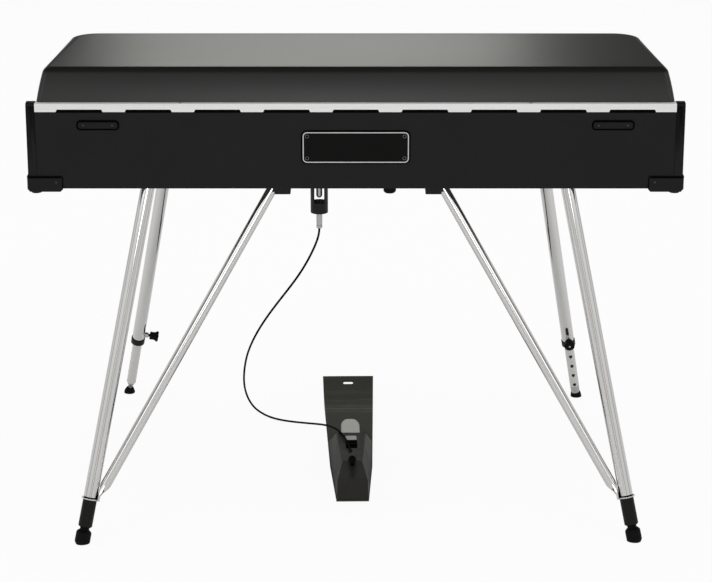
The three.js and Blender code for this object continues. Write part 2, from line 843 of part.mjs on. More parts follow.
// 73 keys from E to E: one octave of separate keys between two joined blocks
function makeKeyboard() {
  const group = new THREE.Group();
  const letterGroups = ["e"];
  for (let octave = 0; octave < 6; octave++) letterGroups.push("fgab", "cde");
  const runs = [];
  let start = (-keyPitch * letterGroups.join("").length) / 2;
  letterGroups.forEach((letters) => {
    runs.push(keyGroup(letters, start));
    start += letters.length * keyPitch;
  });
  const block = (name, keys) => {
    const from = Math.min(...keys.map((key) => key.from));
    const to = Math.max(...keys.map((key) => key.to));
    const bar = box(from, to, tailY - joinDepth, tailY, keyBottomZ, keyTopZ);
    piece(group, name, joined(bar, ...keys.map((key) => key.solid)), "ivory");
  };
  block("lower_keys", runs.slice(0, 6).flat());
  runs.slice(6, 8).flat().forEach((key) => piece(group, key.name, key.solid, key.look));
  block("upper_keys", runs.slice(8).flat());
  return group;
}

// Key frame, hammer rail, damper bar and harp
function makeWorks() {
  const group = new THREE.Group();
  const keysHalf = (keyPitch * whiteKeyCount) / 2;
  const bottom = caseLift + boardThickness + fit;
  const inner = rearY - rearPanelThickness - fit;
  const bed = box(-halfFitted, halfFitted, frontY + slipThickness + fit, inner, bottom, frameTop);
  const crest = keyBottomZ - fit;
  const balance = prism("x", [
    [balanceY - balanceRailWidth / 2, bottom],
    [balanceY + balanceRailWidth / 2, bottom],
    [balanceY + balanceRailWidth / 2, crest - balanceCrestHeight],
    [balanceY + balanceCrestWidth / 2, crest],
    [balanceY - balanceCrestWidth / 2, crest],
    [balanceY - balanceRailWidth / 2, crest - balanceCrestHeight],
  ], -keysHalf, keysHalf);
  const guideY = keyFront + guideRailBack;
  const guide = box(-keysHalf, keysHalf, guideY, guideY + guideRailWidth, bottom,
    keyBottomZ - keyDip - fit);
  const hammerY = tailY + hammerRailGap;
  const hammers = box(-keysHalf, keysHalf, hammerY, hammerY + hammerRailDepth, bottom,
    caseLift + hammerRailHeight);
  const posts = [-1, 1].map((side) =>
    box(side * damperPostX - damperPostWidth / 2, side * damperPostX + damperPostWidth / 2,
      actuatorY - damperBarDepth / 2, actuatorY + damperBarDepth / 2, bottom, damperZ));
  const wireHole = shifted(rod(plungerDiameter / 2 + fit, 0, frameTop - bottom + 2 * overrun),
    actuatorX, actuatorY, bottom - overrun);
  piece(group, "key_frame", cut(joined(bed, balance, guide, hammers, ...posts), wireHole), "wood");
  const bar = box(-keysHalf, keysHalf, actuatorY - damperBarDepth / 2, actuatorY + damperBarDepth / 2,
    damperZ + fit, damperZ + damperBarHeight);
  piece(group, "damper_bar", bar, "wood");

  // Tone bars as the teeth of a comb, long in the bass and short in the treble
  const harpRear = inner - harpRearGap;
  const barPitch = harpWidth / harpBarCount;
  const outline = [
    [harpWidth / 2, harpRear],
    [-harpWidth / 2, harpRear],
    [-harpWidth / 2, harpRear - harpRail],
  ];
  for (let i = 0; i < harpBarCount; i++) {
    const x = -harpWidth / 2 + (i + 0.25) * barPitch;
    const long = harpLongBar + (harpShortBar - harpLongBar) * (i / (harpBarCount - 1));
    const [root, tip] = [harpRear - harpRail, harpRear - harpRail - long];
    outline.push([x, root], [x, tip], [x + barPitch / 2, tip], [x + barPitch / 2, root]);
  }
  outline.push([harpWidth / 2, harpRear - harpRail]);
  const harpZ = caseLift + harpLift;
  const comb = prism("z", outline, harpZ, harpZ + harpThickness);
  const stands = [-1, 1].map((side) => {
    const edge = (side * harpWidth) / 2;
    const [x0, x1] = [edge, edge - side * harpPostWidth].sort((a, b) => a - b);
    return box(x0, x1, harpRear - harpRail, harpRear, frameTop + fit, harpZ + fit);
  });
  piece(group, "harp", joined(comb, ...stands), "aluminium");
  return group;
}

// A group whose origin is the foot's centre on the floor and whose Z axis runs up the leg.
// Its X axis points as nearly as it can along the direction given.
function legGroup(foot, top, towards) {
  const up = top.clone().sub(foot).normalize();
  const across = towards.clone().addScaledVector(up, -towards.dot(up)).normalize();
  const basis = new THREE.Matrix4().makeBasis(across, up.clone().cross(across), up);
  const group = new THREE.Group();
  group.position.copy(foot);
  group.quaternion.setFromRotationMatrix(basis);
  group.updateMatrix();
  return group;
}

// A large block below the floor, or above the flanges, in a leg's own frame
function floorBlock(group) {
  const reach = caseLift / 2;
  const block = box(-reach, reach, -reach, reach, -reach, 0);
  const foot = group.position;
  const inverse = group.matrix.clone().invert();
  return moved(block, inverse.multiply(new THREE.Matrix4().makeTranslation(foot.x, foot.y, 0)));
}

function flangeBlock(group, top) {
  const reach = caseLift / 2;
  const block = box(-reach, reach, -reach, reach, 0, reach);
  const seat = caseLift - flangeThickness - fit;
  const inverse = group.matrix.clone().invert();
  return moved(block, inverse.multiply(new THREE.Matrix4().makeTranslation(top.x, top.y, seat)));
}

// Flattened ring of a tube: a round section squeezed to a flat one of the same skin
function tubeRing(centre, across, along, halfThick, halfWide) {
  return Array.from({ length: smallSides }, (_, i) => {
    const angle = (2 * Math.PI * i) / smallSides;
    return centre
      .clone()
      .addScaledVector(across, halfThick * Math.cos(angle))
      .addScaledVector(along, halfWide * Math.sin(angle));
  });
}

function bracketX(side) {
  return side < 0 ? leftBracketX : rightBracketX;
}

// Foot and top of a rear leg, and the brace's end in its bracket
function rearLegPlaces(side) {
  const [legSide, footSide, reach] = side < 0
    ? [leftRearLegSide, leftRearFootSide, leftRearFootReach]
    : [rightRearLegSide, rightRearFootSide, rightRearFootReach];
  return {
    foot: new THREE.Vector3(side * (halfCase - footSide), rearY + reach, 0),
    top: new THREE.Vector3(side * (halfCase - legSide), rearY - rearLegBack, caseLift),
    bracket: new THREE.Vector3(side * (bracketX(side) + braceSeat),
      rearY - bracketBack - bracketLength / 2, caseLift - braceTopGap),
  };
}

// The brace's bend and its end, in the leg's frame and in the part's frame
function bracePlaces({ foot, top, bracket }) {
  const group = legGroup(foot, top, bracket.clone().sub(foot));
  const ringTop = tipHeight + neckHeight + sleeveHeight + fit + ringThickness;
  const bendX = legDiameter / 2 + braceClearance + braceDiameter / 2;
  const bendTop = new THREE.Vector3(bendX, 0, ringTop + braceFlatLength + braceBendLength);
  const bend = bendTop.clone().applyMatrix4(group.matrix);
  return { group, ringTop, bendTop, target: bracket, run: bracket.clone().sub(bend).normalize() };
}

// Rear leg with its boot and brace
function makeRearLeg(hand, side) {
  const places = rearLegPlaces(side);
  const { foot, top, bracket } = places;
  const { group, ringTop, bendTop } = bracePlaces(places);
  const floor = floorBlock(group);
  const radius = legDiameter / 2;

  const sleeveStart = tipHeight + neckHeight;
  const sleeveEnd = sleeveStart + sleeveHeight;
  const edge = tipRadius - neckRadius;
  const boot = turned([
    [0, -tipSink - overrun],
    [tipRadius - edge / 2, -tipSink - overrun],
    [tipRadius - edge / 2, -tipSink],
    [tipRadius, -tipSink + edge / 2],
    [tipRadius, tipHeight - edge],
    [neckRadius, tipHeight],
    [neckRadius, sleeveStart],
    [sleeveRadius, sleeveStart + edge / 2],
    [sleeveRadius, sleeveEnd],
    [studRadius, sleeveEnd],
    [studRadius, sleeveEnd + studHeight],
    [0, sleeveEnd + studHeight],
  ]);
  piece(group, `rear_${hand}_leg_boot`, cut(boot, floor), "rubber");

  const length = foot.distanceTo(top);
  const leg = tube(radius, radius - legWall, ringTop + fit, length + overrun * 2);
  piece(group, `rear_${hand}_leg`, cut(leg, flangeBlock(group, top)), "chrome");

  // The brace: a ring under the tube's end, a flat that hugs the tube, a bend and the long rod
  const target = bracket.clone().applyMatrix4(group.matrix.clone().invert());
  const [x, y, z] = [0, 1, 2].map((i) => new THREE.Vector3().setComponent(i, 1));
  const flatX = radius + 1.5 * fit + braceFlatThickness / 2;
  const flatTop = ringTop + braceFlatLength;
  const run = target.clone().sub(bendTop).normalize();
  const squash = [braceFlatThickness / 2, braceFlatWidth / 2];
  const round = [braceDiameter / 2, braceDiameter / 2];
  const half = new THREE.Vector3((flatX + bendTop.x) / 2, 0, flatTop + braceBendLength / 2);
  const tilted = new THREE.Vector3().crossVectors(y, run).normalize();
  const brace = skin([
    tubeRing(new THREE.Vector3(flatX, 0, ringTop - ringThickness), x, y, ...squash),
    tubeRing(new THREE.Vector3(flatX, 0, flatTop), x, y, ...squash),
    tubeRing(half, x, y, (squash[0] + round[0]) / 2, (squash[1] + round[1]) / 2),
    tubeRing(bendTop, tilted, y, ...round),
    tubeRing(target, tilted, y, ...round),
  ]);
  const ring = tube(ringRadius, studRadius + fit, ringTop - ringThickness, ringTop);
  const tongue = box(0, flatX, -braceFlatWidth / 3, braceFlatWidth / 3, ringTop - ringThickness, ringTop);
  const legRoom = rod(radius + fit, ringTop, flatTop + 2 * braceBendLength);
  const studRoom = rod(studRadius + fit, ringTop - ringThickness - fit, ringTop + fit);
  const slot = prism("x", roundedOutline(braceSlotWidth, braceSlotLength, braceSlotWidth * slotRounding, 0,
    ringTop + braceFlatLength / 2), radius, flatX + overrun);
  const solid = cut(joined(brace, ring, tongue), legRoom, studRoom, slot);
  piece(group, `${hand}_brace`, solid, "chrome");
  return group;
}

// Front telescoping leg: outer tube, collar, pull knob, holed inner tube and foot
function makeFrontLeg(hand, side, towards) {
  const [legSide, footSide, reach] = side < 0
    ? [leftFrontLegSide, leftFrontFootSide, leftFrontFootReach]
    : [rightFrontLegSide, rightFrontFootSide, rightFrontFootReach];
  const foot = new THREE.Vector3(side * (halfCase - footSide), frontY - reach, 0);
  const top = new THREE.Vector3(side * (halfCase - legSide), frontY + frontLegFront, caseLift);
  const group = legGroup(foot, top, towards);
  const [radius, innerRadius] = [legDiameter / 2, innerDiameter / 2];
  const knobZ = holeFirst + (pinHole - 1) * holePitch;
  const collarTop = knobZ - collarDrop;
  const outerEnd = collarTop - collarHeight + collarStep;
  const sideways = (solid, z) =>
    moved(solid, new THREE.Matrix4().makeTranslation(0, 0, z)
      .multiply(new THREE.Matrix4().makeRotationY(Math.PI / 2)));

  const length = foot.distanceTo(top);
  const outer = tube(radius, radius - legWall, outerEnd + fit, length + overrun * 2);
  const stemEnd = radius + stemShow;
  const stemHole = sideways(rod(stemRadius + fit, 0, stemEnd + overrun, smallSides), knobZ);
  const slot = prism("x", roundedOutline(slotWidth, slotLength, slotWidth * slotRounding, 0,
    knobZ + slotGap + slotLength / 2), 0, radius + overrun);
  const bush = sideways(rod(bushRadius, radius - bushSink, stemEnd - fit, smallSides), knobZ);
  const outerCuts = [flangeBlock(group, top), stemHole, slot];
  piece(group, `front_${hand}_leg`, cut(joined(outer, bush), ...outerCuts), "chrome");

  const collar = cut(
    tube(collarRadius, innerRadius + fit, outerEnd - collarStep, collarTop),
    rod(radius + fit, outerEnd, collarTop + overrun),
  );
  piece(group, `front_${hand}_collar`, collar, "plastic");

  const pull = turned([
    [0, innerRadius + fit],
    [stemRadius, innerRadius + fit],
    [stemRadius, stemEnd],
    [pullWaistRadius, stemEnd],
    [pullWaistRadius, stemEnd + pullLength - pullRim],
    [pullRadius, stemEnd + pullLength - pullRim],
    [pullRadius, stemEnd + pullLength - fit],
    [pullRadius - pullEdge, stemEnd + pullLength],
    [0, stemEnd + pullLength],
  ], smallSides);
  piece(group, `${hand}_pull_knob`, sideways(pull, knobZ), "plastic");

  const coneStart = footHeight + footNeckHeight;
  const plugStart = coneStart + footConeHeight;
  const bore = innerRadius - innerWall;
  const tubeStart = plugStart + fit;
  const inner = tube(innerRadius, bore, tubeStart, outerEnd + overlapLength);
  const holes = Array.from({ length: holeCount }, (_, i) =>
    sideways(rod(holeDiameter / 2, -radius, radius, cableSides), holeFirst + i * holePitch));
  piece(group, `front_${hand}_inner_tube`, cut(inner, ...holes), "chrome");

  const footSolid = turned([
    [0, -footSink - overrun],
    [footRadius, -footSink - overrun],
    [footRadius, footRim],
    [footTopRadius, footHeight],
    [footNeckRadius, footHeight],
    [footNeckRadius, coneStart],
    [innerRadius - fit, plugStart],
    [bore - fit, plugStart],
    [bore - fit, plugStart + plugHeight],
    [0, plugStart + plugHeight],
  ]);
  piece(group, `front_${hand}_foot`, cut(footSolid, floorBlock(group)), "rubber");
  return group;
}

// Half the width of the heel plate at a distance from the pedal's rear end
function plateHalf(back) {
  if (back < plateKink) return plateRearHalf + ((plateMidHalf - plateRearHalf) * back) / plateKink;
  const share = (back - plateKink) / (plateLength - plateKink);
  return plateMidHalf + (plateFarHalf - plateMidHalf) * share;
}

// Sustain pedal: curled heel plate, faceted housing and lever
function makePedal() {
  const group = new THREE.Group();
  group.position.set(pedalX, pedalY, 0);
  group.rotation.z = THREE.MathUtils.degToRad(pedalTurn);

  const curlSteps = 2 * arcSteps;
  const places = [0, plateKink, plateFlat];
  for (let i = 1; i <= curlSteps; i++) {
    places.push(plateFlat + ((plateLength - plateFlat) * i) / curlSteps);
  }
  const plate = skin(
    places.map((back) => {
      const share = Math.max(0, back - plateFlat) / (plateLength - plateFlat);
      const lift = plateCurl * share ** 2;
      const half = plateHalf(back);
      const lean = (2 * plateCurl * share) / (plateLength - plateFlat);
      return [
        [-half, 0],
        [half, 0],
        [half, plateGauge],
        [-half, plateGauge],
      ].map(([x, up]) => new THREE.Vector3(x, -back + up * lean * share, lift + up));
    }),
  );
  const slotY = -plateLength + plateSlotInset;
  const slot = prism("z", roundedOutline(plateSlotWidth, plateSlotLength, plateSlotLength * slotRounding,
    0, slotY), -overrun, plateCurl + overrun);
  piece(group, "pedal_base", cut(plate, slot), "rubber");

  const low = plateGauge + fit;
  const sections = [
    [0, plateRearHalf, housingRearHalf, housingRear],
    [housingWaist, plateHalf(housingWaist), housingWaistHalf, housingHeight],
    [housingFront, plateHalf(housingFront), housingFrontHalf, housingHeight],
    [housingLength, plateHalf(housingLength), plateHalf(housingLength) - housingBevel, low + housingLip],
  ];
  const shell = skin(
    sections.map(([back, wide, narrow, height]) => {
      const bevel = Math.min(housingBevel, (height - low) / 3);
      return [
        [-(wide - housingInset), low],
        [wide - housingInset, low],
        [narrow, height - bevel],
        [narrow - bevel, height],
        [-(narrow - bevel), height],
        [-narrow, height - bevel],
      ].map(([x, z]) => new THREE.Vector3(x, -back, z));
    }),
  );
  const halfPocket = leverWidth / 2 + pocketRoom;
  const pocket = box(-halfPocket, halfPocket, -housingLength - overrun,
    -(leverPivot - leverTail - overrun), pocketFloor, pocketTop);
  const pinZ = leverTop - leverThickness / 2;
  const across = (r, half) =>
    moved(rod(r, -half, half, smallSides), new THREE.Matrix4().makeTranslation(0, -leverPivot, pinZ)
      .multiply(new THREE.Matrix4().makeRotationY(Math.PI / 2)));
  const pinHoles = across(leverPinRadius + fit, halfPocket + leverPinSeat + fit);
  const recess = box(-recessWidth / 2, recessWidth / 2, -recessStart - recessLength, -recessStart,
    housingHeight - recessDepth, housingHeight + overrun);
  const boot = moved(
    turned([
      [0, 0],
      [bootRadius, 0],
      [bootTipRadius, bootLength],
      [0, bootLength],
    ]),
    new THREE.Matrix4().makeTranslation(0, -bootStart, bootAxis)
      .multiply(new THREE.Matrix4().makeRotationX(Math.PI / 2)),
  );
  const housing = joined(cut(shell, pocket, pinHoles, recess), boot);
  piece(group, "pedal_housing", housing, "plastic");

  const leverLength = leverTip - (leverPivot - leverTail);
  const lever = roundedOutline(leverWidth, leverLength, leverRounding, 0,
    -leverTip + leverLength / 2);
  const blade = prism("z", lever, leverTop - leverThickness, leverTop);
  const pin = across(leverPinRadius, halfPocket + leverPinSeat);
  piece(group, "pedal_lever", joined(blade, pin), "lever");
  return group;
}

// Actuator that the cable works: a cup with a window, a plunger and a ferrule
function makeActuator() {
  const group = new THREE.Group();
  group.position.set(actuatorX, actuatorY, caseLift);
  const radius = actuatorDiameter / 2;
  const body = rod(radius, -actuatorLength, -fit);
  const view = box(-windowWidth / 2, windowWidth / 2, -radius - overrun, radius + overrun,
    -windowTop - windowHeight, -windowTop);
  const bore = rod(plungerDiameter / 2 + fit, -windowTop - overrun, overrun);
  piece(group, "actuator_housing", cut(body, view, bore), "plastic");

  const half = plungerDiameter / 2;
  const tip = Array.from({ length: arcSteps + 1 }, (_, i) => {
    const angle = (Math.PI / 2) * (i / arcSteps);
    return [half * Math.sin(angle), -plungerEnd + half * (1 - Math.cos(angle))];
  });
  const plunger = turned([...tip, [half, damperBarLift - fit], [0, damperBarLift - fit]]);
  piece(group, "actuator_plunger", plunger, "steel");

  const ferruleTop = -actuatorLength - fit;
  const [r, bottom] = [ferruleDiameter / 2, ferruleTop - ferruleLength];
  const ferrule = turned([
    [0, bottom],
    [r - ferruleEdge, bottom],
    [r, bottom + ferruleEdge],
    [r, ferruleTop],
    [0, ferruleTop],
  ]);
  piece(group, "cable_ferrule", ferrule, "steel");
  return group;
}

// Free cable between the ferrule and the pedal's boot
function makeCable(group) {
  const curve = new THREE.CatmullRomCurve3(cableRoute.map((p) => new THREE.Vector3(...p)), false,
    "centripetal");
  const section = new THREE.Shape(
    Array.from({ length: cableSides }, (_, i) => {
      const angle = (2 * Math.PI * i) / cableSides;
      return new THREE.Vector2(Math.cos(angle), Math.sin(angle)).multiplyScalar(cableDiameter / 2);
    }),
  );
  const geometry = new THREE.ExtrudeGeometry(section, { steps: cableSteps, extrudePath: curve });
  piece(group, "pedal_cable", solidOf(geometry), "rubber");
}

const body = makeCase();
makeRearRail(body);
makePlates(body);
makeCorners(body);
makeUnderside(body);
makeNameRail(body);
piano.add(body, makeHood(), makeKeyboard(), makeWorks());
sides((hand, side) => {
  const knobFaces = side < 0 ? new THREE.Vector3(0, 1, 0) : new THREE.Vector3(-1, 0, 0);
  piano.add(makeRearLeg(hand, side), makeFrontLeg(hand, side, knobFaces));
});
piano.add(makePedal(), makeActuator());
makeCable(piano);

export default piano;
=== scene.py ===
"""A stage electric piano on chrome legs with its sustain pedal, dressed around its CAD model."""

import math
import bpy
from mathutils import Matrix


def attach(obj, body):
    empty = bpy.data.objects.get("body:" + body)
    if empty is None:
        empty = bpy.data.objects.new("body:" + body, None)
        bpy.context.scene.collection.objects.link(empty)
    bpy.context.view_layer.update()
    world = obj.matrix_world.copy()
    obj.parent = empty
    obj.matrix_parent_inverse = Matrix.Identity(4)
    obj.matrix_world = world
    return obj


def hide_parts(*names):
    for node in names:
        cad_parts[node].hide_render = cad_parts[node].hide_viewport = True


bl_info = {
    "name": "Stage electric piano",
    "version": (1, 0, 0),
    "blender": (4, 5, 0),
    "location": "View3D > Sidebar > Electric piano",
    "description": "Builds the hood, legs, keys, works, pedal and cable of an electric piano",
    "category": "Add Mesh",
}

import bmesh
import bpy
import numpy as np
from mathutils import Matrix

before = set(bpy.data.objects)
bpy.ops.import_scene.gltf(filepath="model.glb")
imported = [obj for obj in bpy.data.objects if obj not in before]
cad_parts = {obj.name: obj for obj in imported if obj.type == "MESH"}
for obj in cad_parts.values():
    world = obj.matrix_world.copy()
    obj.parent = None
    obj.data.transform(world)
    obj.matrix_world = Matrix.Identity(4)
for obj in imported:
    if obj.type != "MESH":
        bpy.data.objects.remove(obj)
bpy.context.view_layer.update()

MM = 0.001
FIT = 0.3 * MM

# Sizes that the CAD model shares, in metres
CASE_WIDTH, CASE_DEPTH, CASE_LIFT, CASE_HEIGHT = 1.153, 0.578, 0.6378, 0.1538
CHEEK = 0.0155
REAR_TIP = 0.094 + 0.0139 * math.hypot(1, 154 / 637.8)
FRONT_TIP = 0.111 + 0.0112 * math.hypot(1, 199 / 637.8)
REAR = (CASE_DEPTH + FRONT_TIP - REAR_TIP) / 2
FRONT = REAR - CASE_DEPTH
TOP = CASE_LIFT + CASE_HEIGHT
HALF = CASE_WIDTH / 2
INSIDE = HALF - CHEEK
KEY_FRONT = FRONT + 0.024
KEY_TOP = CASE_LIFT + 0.095
NAME_FRONT = KEY_FRONT + 0.150
NAME_BACK = NAME_FRONT + 0.030
RAIL_LIP = 0.0186
HOOD_HEIGHT, HOOD_EDGE = 0.0587, 0.009
PLATE_DROP = 0.079
SIDE_PLATE_DROP = 0.0389
SIDE_PLATE_INSET = 0.1255
GUARD_REACH, GUARD_HEIGHT, GUARD_WALL, GUARD_SOLE = 0.063, 0.0227, 0.002, 0.0056
TUBE, TUBE_BORE = 0.0125, 0.0105
FLANGE = 0.0055
REAR_TOP_Y, FRONT_TOP_Y = REAR - 0.060, FRONT + 0.088
PEDAL_AT = (0.0052, REAR - 0.097, 0.0)
PEDAL_TURN = math.radians(1.03)
ACTUATOR_AT = (0.0657, REAR - 0.110, CASE_LIFT)

# Per hand: side, case side to the leg's top, case side to its foot, reach, and the brace bracket's x
REAR_LEGS = {
    "left": (-1, 0.1995, 0.0709, 0.084, 0.1395),
    "right": (1, 0.2079, 0.0821, 0.094, 0.1305),
}
# Per hand: side, case side to the leg's top, case side to its foot, reach, and where the knob points
FRONT_LEGS = {
    "left": (-1, 0.2223, 0.1124, 0.089, (0, 1, 0)),
    "right": (1, 0.2205, 0.0991, 0.111, (-1, 0, 0)),
}

CABLE_ROUTE = MM * np.array([
    [65.9, 186.1, 532.4], [66.4, 185.9, 519], [74.5, 179.4, 496], [84.8, 167.9, 470.5],
    [99.5, 149.6, 439], [119.2, 125.6, 404], [139.3, 98.6, 370], [159.9, 65.6, 333],
    [178.5, 28.6, 295], [195.5, -14.4, 254], [209, -62.4, 211], [217.7, -108, 172.5],
    [225.5, -175, 113], [226, -233, 62], [216, -256, 26], [203, -264, 8.5],
    [187, -252, 2.6], [163, -226, 2.6], [131, -206, 5.5], [97, -163, 18],
    [69, -117, 34], [47, -66, 49], [30, -10, 60], [19.4, 32, 62],
    [12.2, 72, 61.5], [7, 108.5, 61.3],
])

BOX_CORNERS = np.array([[x, y, z] for z in (0, 1) for y in (0, 1) for x in (0, 1)])
BOX_FACES = [[0, 1, 3, 2], [4, 5, 7, 6], [0, 1, 5, 4], [2, 3, 7, 6], [0, 2, 6, 4], [1, 3, 7, 5]]
LEAST_RADIUS = 1e-5
CORNER_STEPS = 6

# Angles in degrees: an edge that turns by more is drawn sharp
SHARP, FLAT_SHARP = 35, 30


def grid_faces(rows, columns, wrap_rows=False):
    """Four-sided faces of a grid of points that is stored row by row, each row a closed ring."""
    r = np.arange(rows if wrap_rows else rows - 1)[:, None]
    c = np.arange(columns)[None, :]
    r1, c1 = (r + 1) % rows, (c + 1) % columns
    quads = [r * columns + c, r * columns + c1, r1 * columns + c1, r1 * columns + c]
    return np.stack([np.broadcast_to(q, (r.size, c.size)) for q in quads], -1).reshape(-1, 4)


def piece(name, points, faces, material, body, node=None, sharp=SHARP, values=None):
    """Makes a mesh piece in a named finish from arrays, faced outwards, with its sharp edges set."""
    mesh = bpy.data.meshes.new(name)
    mesh.from_pydata(np.asarray(points, float).reshape(-1, 3).tolist(), [], [list(f) for f in faces])
    if values is not None:
        layer = mesh.attributes.new("pit", "FLOAT", "POINT")
        layer.data.foreach_set("value", np.asarray(values, np.float32).ravel())
    b = bmesh.new()
    b.from_mesh(mesh)
    bmesh.ops.remove_doubles(b, verts=b.verts, dist=1e-6)
    bmesh.ops.dissolve_degenerate(b, edges=b.edges, dist=1e-7)
    bmesh.ops.recalc_face_normals(b, faces=b.faces)
    b.to_mesh(mesh)
    b.free()
    return dress(mesh, name, material, body, node, sharp)


def dress(mesh, name, material, body, node=None, sharp=SHARP):
    """Links a mesh as a piece that rides on a body and stands for the CAD node, if one is named."""
    mesh.shade_smooth()
    mesh.set_sharp_from_angle(angle=math.radians(sharp))
    made = bpy.data.objects.new(name, mesh)
    bpy.context.scene.collection.objects.link(made)
    made.data.materials.append(finish(material))
    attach(made, body)
    if node:
        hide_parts(node)
    return made


def rounded_path(points, radius, steps):
    """A polyline whose inner corners become quadratic blends between two cut points, which lie
    a radius away, or less than half a side away where a side is short."""
    p = np.asarray(points, float)
    before, at, after = p[:-2], p[1:-1], p[2:]
    back, on = before - at, after - at
    lengths = [np.linalg.norm(v, axis=1, keepdims=True) for v in (back, on)]
    most = 0.45
    cut = np.minimum(np.minimum(*lengths) * most, radius)
    a, b = at + back / lengths[0] * cut, at + on / lengths[1] * cut
    t = np.linspace(0, 1, steps)[None, :, None]
    curve = (1 - t) ** 2 * a[:, None] + 2 * t * (1 - t) * at[:, None] + t**2 * b[:, None]
    return np.concatenate([p[:1], curve.reshape(-1, p.shape[1]), p[-1:]])


def rounded_rectangle(width, height, radius):
    """Points around a rectangle whose corners are quarter circles, anticlockwise from the right."""
    radius = min(radius, width / 2, height / 2)
    quarter = np.arange(4)[:, None]
    angle = (quarter + np.linspace(0, 1, CORNER_STEPS)[None, :]) * math.pi / 2
    sign_x = np.array([1, -1, -1, 1])[:, None]
    sign_y = np.array([1, 1, -1, -1])[:, None]
    x = sign_x * (width / 2 - radius) + radius * np.cos(angle)
    y = sign_y * (height / 2 - radius) + radius * np.sin(angle)
    return np.stack([x, y], -1).reshape(-1, 2)


def axes(origin, z, x=(1, 0, 0)):
    """A frame as (origin, rows of unit axes): its Z runs along z and its X as near to x as it can."""
    z = np.asarray(z, float) / np.linalg.norm(z)
    x = np.asarray(x, float)
    x = x - z * (x @ z)
    x = x / np.linalg.norm(x)
    return np.asarray(origin, float), np.stack([x, np.cross(z, x), z])


def carry(local, frame):
    """Local points (..., 3) carried into the row frame."""
    origin, rows = frame
    return np.asarray(local) @ rows + origin


def held_between(points, frame, low, high):
    """Slides points along the frame's Z axis until they lie above low and below high, if given."""
    if low is None and high is None:
        return points
    up = frame[1][2]
    z = points[..., 2]
    want = z
    if low is not None:
        want = np.maximum(want, low)
    if high is not None:
        want = np.minimum(want, high)
    return points + ((want - z) / up[2])[..., None] * up


def turned(name, profile, frame, material, body, node=None, slot=None, sides=64, low=None,
           high=None, pits=(), ribs=None, sharp=SHARP, closed=False):
    """A profile of (radius, height) turned about the frame's Z axis: x = r cos a, y = r sin a.
    Each pit (angle, height, width, length, depth) lowers the radius inside a rounded slot and
    marks it for painted shade, drawn black for a hole's depth, and ribs (count, depth, low,
    high) waves it by the cosine of count times the angle."""
    p = np.asarray(profile, float)
    angle = np.linspace(0, 2 * math.pi, sides, endpoint=False)
    if pits:
        widest = p[:, 0].max()
        spread, rise = np.linspace(-0.75, 0.75, 13), np.linspace(-1, 1, 25)
        near = np.concatenate([a + w / widest * spread for a, _, w, _, _ in pits])
        angle = np.unique(np.round(np.concatenate([angle, near % (2 * math.pi)]), 4))
        extra = np.concatenate([z + rise * (long / 2 + w * 0.3) for _, z, w, long, _ in pits])
        outer = np.flatnonzero(p[:, 0] > widest - 1e-6)
        lo, hi = p[outer[0], 1], p[outer[-1], 1]
        between = extra[(extra > lo) & (extra < hi)]
        heights = np.unique(np.round(np.concatenate([[lo, hi], between]), 6))
        middle = np.stack([np.full(heights.size, widest), heights], -1)
        p = np.concatenate([p[: outer[0]], middle, p[outer[-1] + 1:]])
    r = np.repeat(p[:, :1], angle.size, 1)
    z = np.repeat(p[:, 1:], angle.size, 1)
    # Share of black painted shade at each point, standing for a hole's depth
    dark = np.zeros_like(r)
    soft, outermost = 0.06, 0.97
    for a, height, width, length, depth in pits:
        around = (angle[None, :] - a + math.pi) % (2 * math.pi) - math.pi
        along = np.maximum(np.abs(z - height) - (length - width) / 2, 0)
        away = np.hypot(around * r, along)
        mask = np.clip((width / 2 - away) / (width * soft) + 0.5, 0, 1)
        mask = mask * (r > p[:, 0].max() * outermost)
        dark = np.maximum(dark, mask)
        r = r - depth * mask
    if ribs:
        count, depth, lo, hi = ribs
        on = (z > lo) & (z < hi)
        r = r - on * depth * (0.5 - 0.5 * np.cos(count * angle))[None, :]
    local = np.stack([r * np.cos(angle), r * np.sin(angle), z], -1)
    points = held_between(carry(local, frame), frame, low, high)
    faces = grid_faces(len(p), angle.size, wrap_rows=closed)
    return piece(name, points, faces, material, body, node, sharp, values=dark)


def lathe(name, rows, blend, *where, **settings):
    """turned, with its rows in millimetres and their corners blended over (length, steps)."""
    rows = np.array(rows) * MM
    if blend:
        rows = rounded_path(rows, blend[0] * MM, blend[1])
    return turned(name, rows, *where, **settings)


def rectangle_rings(outline, levels):
    """Rings of a rounded rectangle (width, height, radius), each drawn in by an inset at a height."""
    width, height, radius = outline
    rings = []
    for i, z in levels:
        ring = rounded_rectangle(width - 2 * i, height - 2 * i, max(radius - i, LEAST_RADIUS))
        rings.append(np.concatenate([ring, np.full((len(ring), 1), z)], 1))
    return rings


def plate(name, outline, levels, frame, material, body, node=None):
    """A flat piece of rounded-rectangle rings, closed by fans of triangles at both ends."""
    rings = rectangle_rings(outline, levels)
    count = len(rings[0])
    points = np.concatenate(rings + [[[0, 0, levels[0][1]], [0, 0, levels[-1][1]]]])
    faces = grid_faces(len(rings), count).tolist()
    c = np.arange(count)
    first, last = len(rings) * count, (len(rings) - 1) * count
    faces += np.stack([np.full(count, first), (c + 1) % count, c], -1).tolist()
    faces += np.stack([np.full(count, first + 1), last + c, last + (c + 1) % count], -1).tolist()
    return piece(name, carry(points, frame), faces, material, body, node, FLAT_SHARP)


def ring_plate(name, outline, width, heights, frame, material, body):
    """A thin raised frame: a rounded-rectangle ring between two outlines, closed all round."""
    low, high = heights
    rings = rectangle_rings(outline, [(0, low), (0, high), (width, high), (width, low)])
    faces = grid_faces(len(rings), len(rings[0]), wrap_rows=True)
    return piece(name, carry(np.concatenate(rings), frame), faces, material, body)


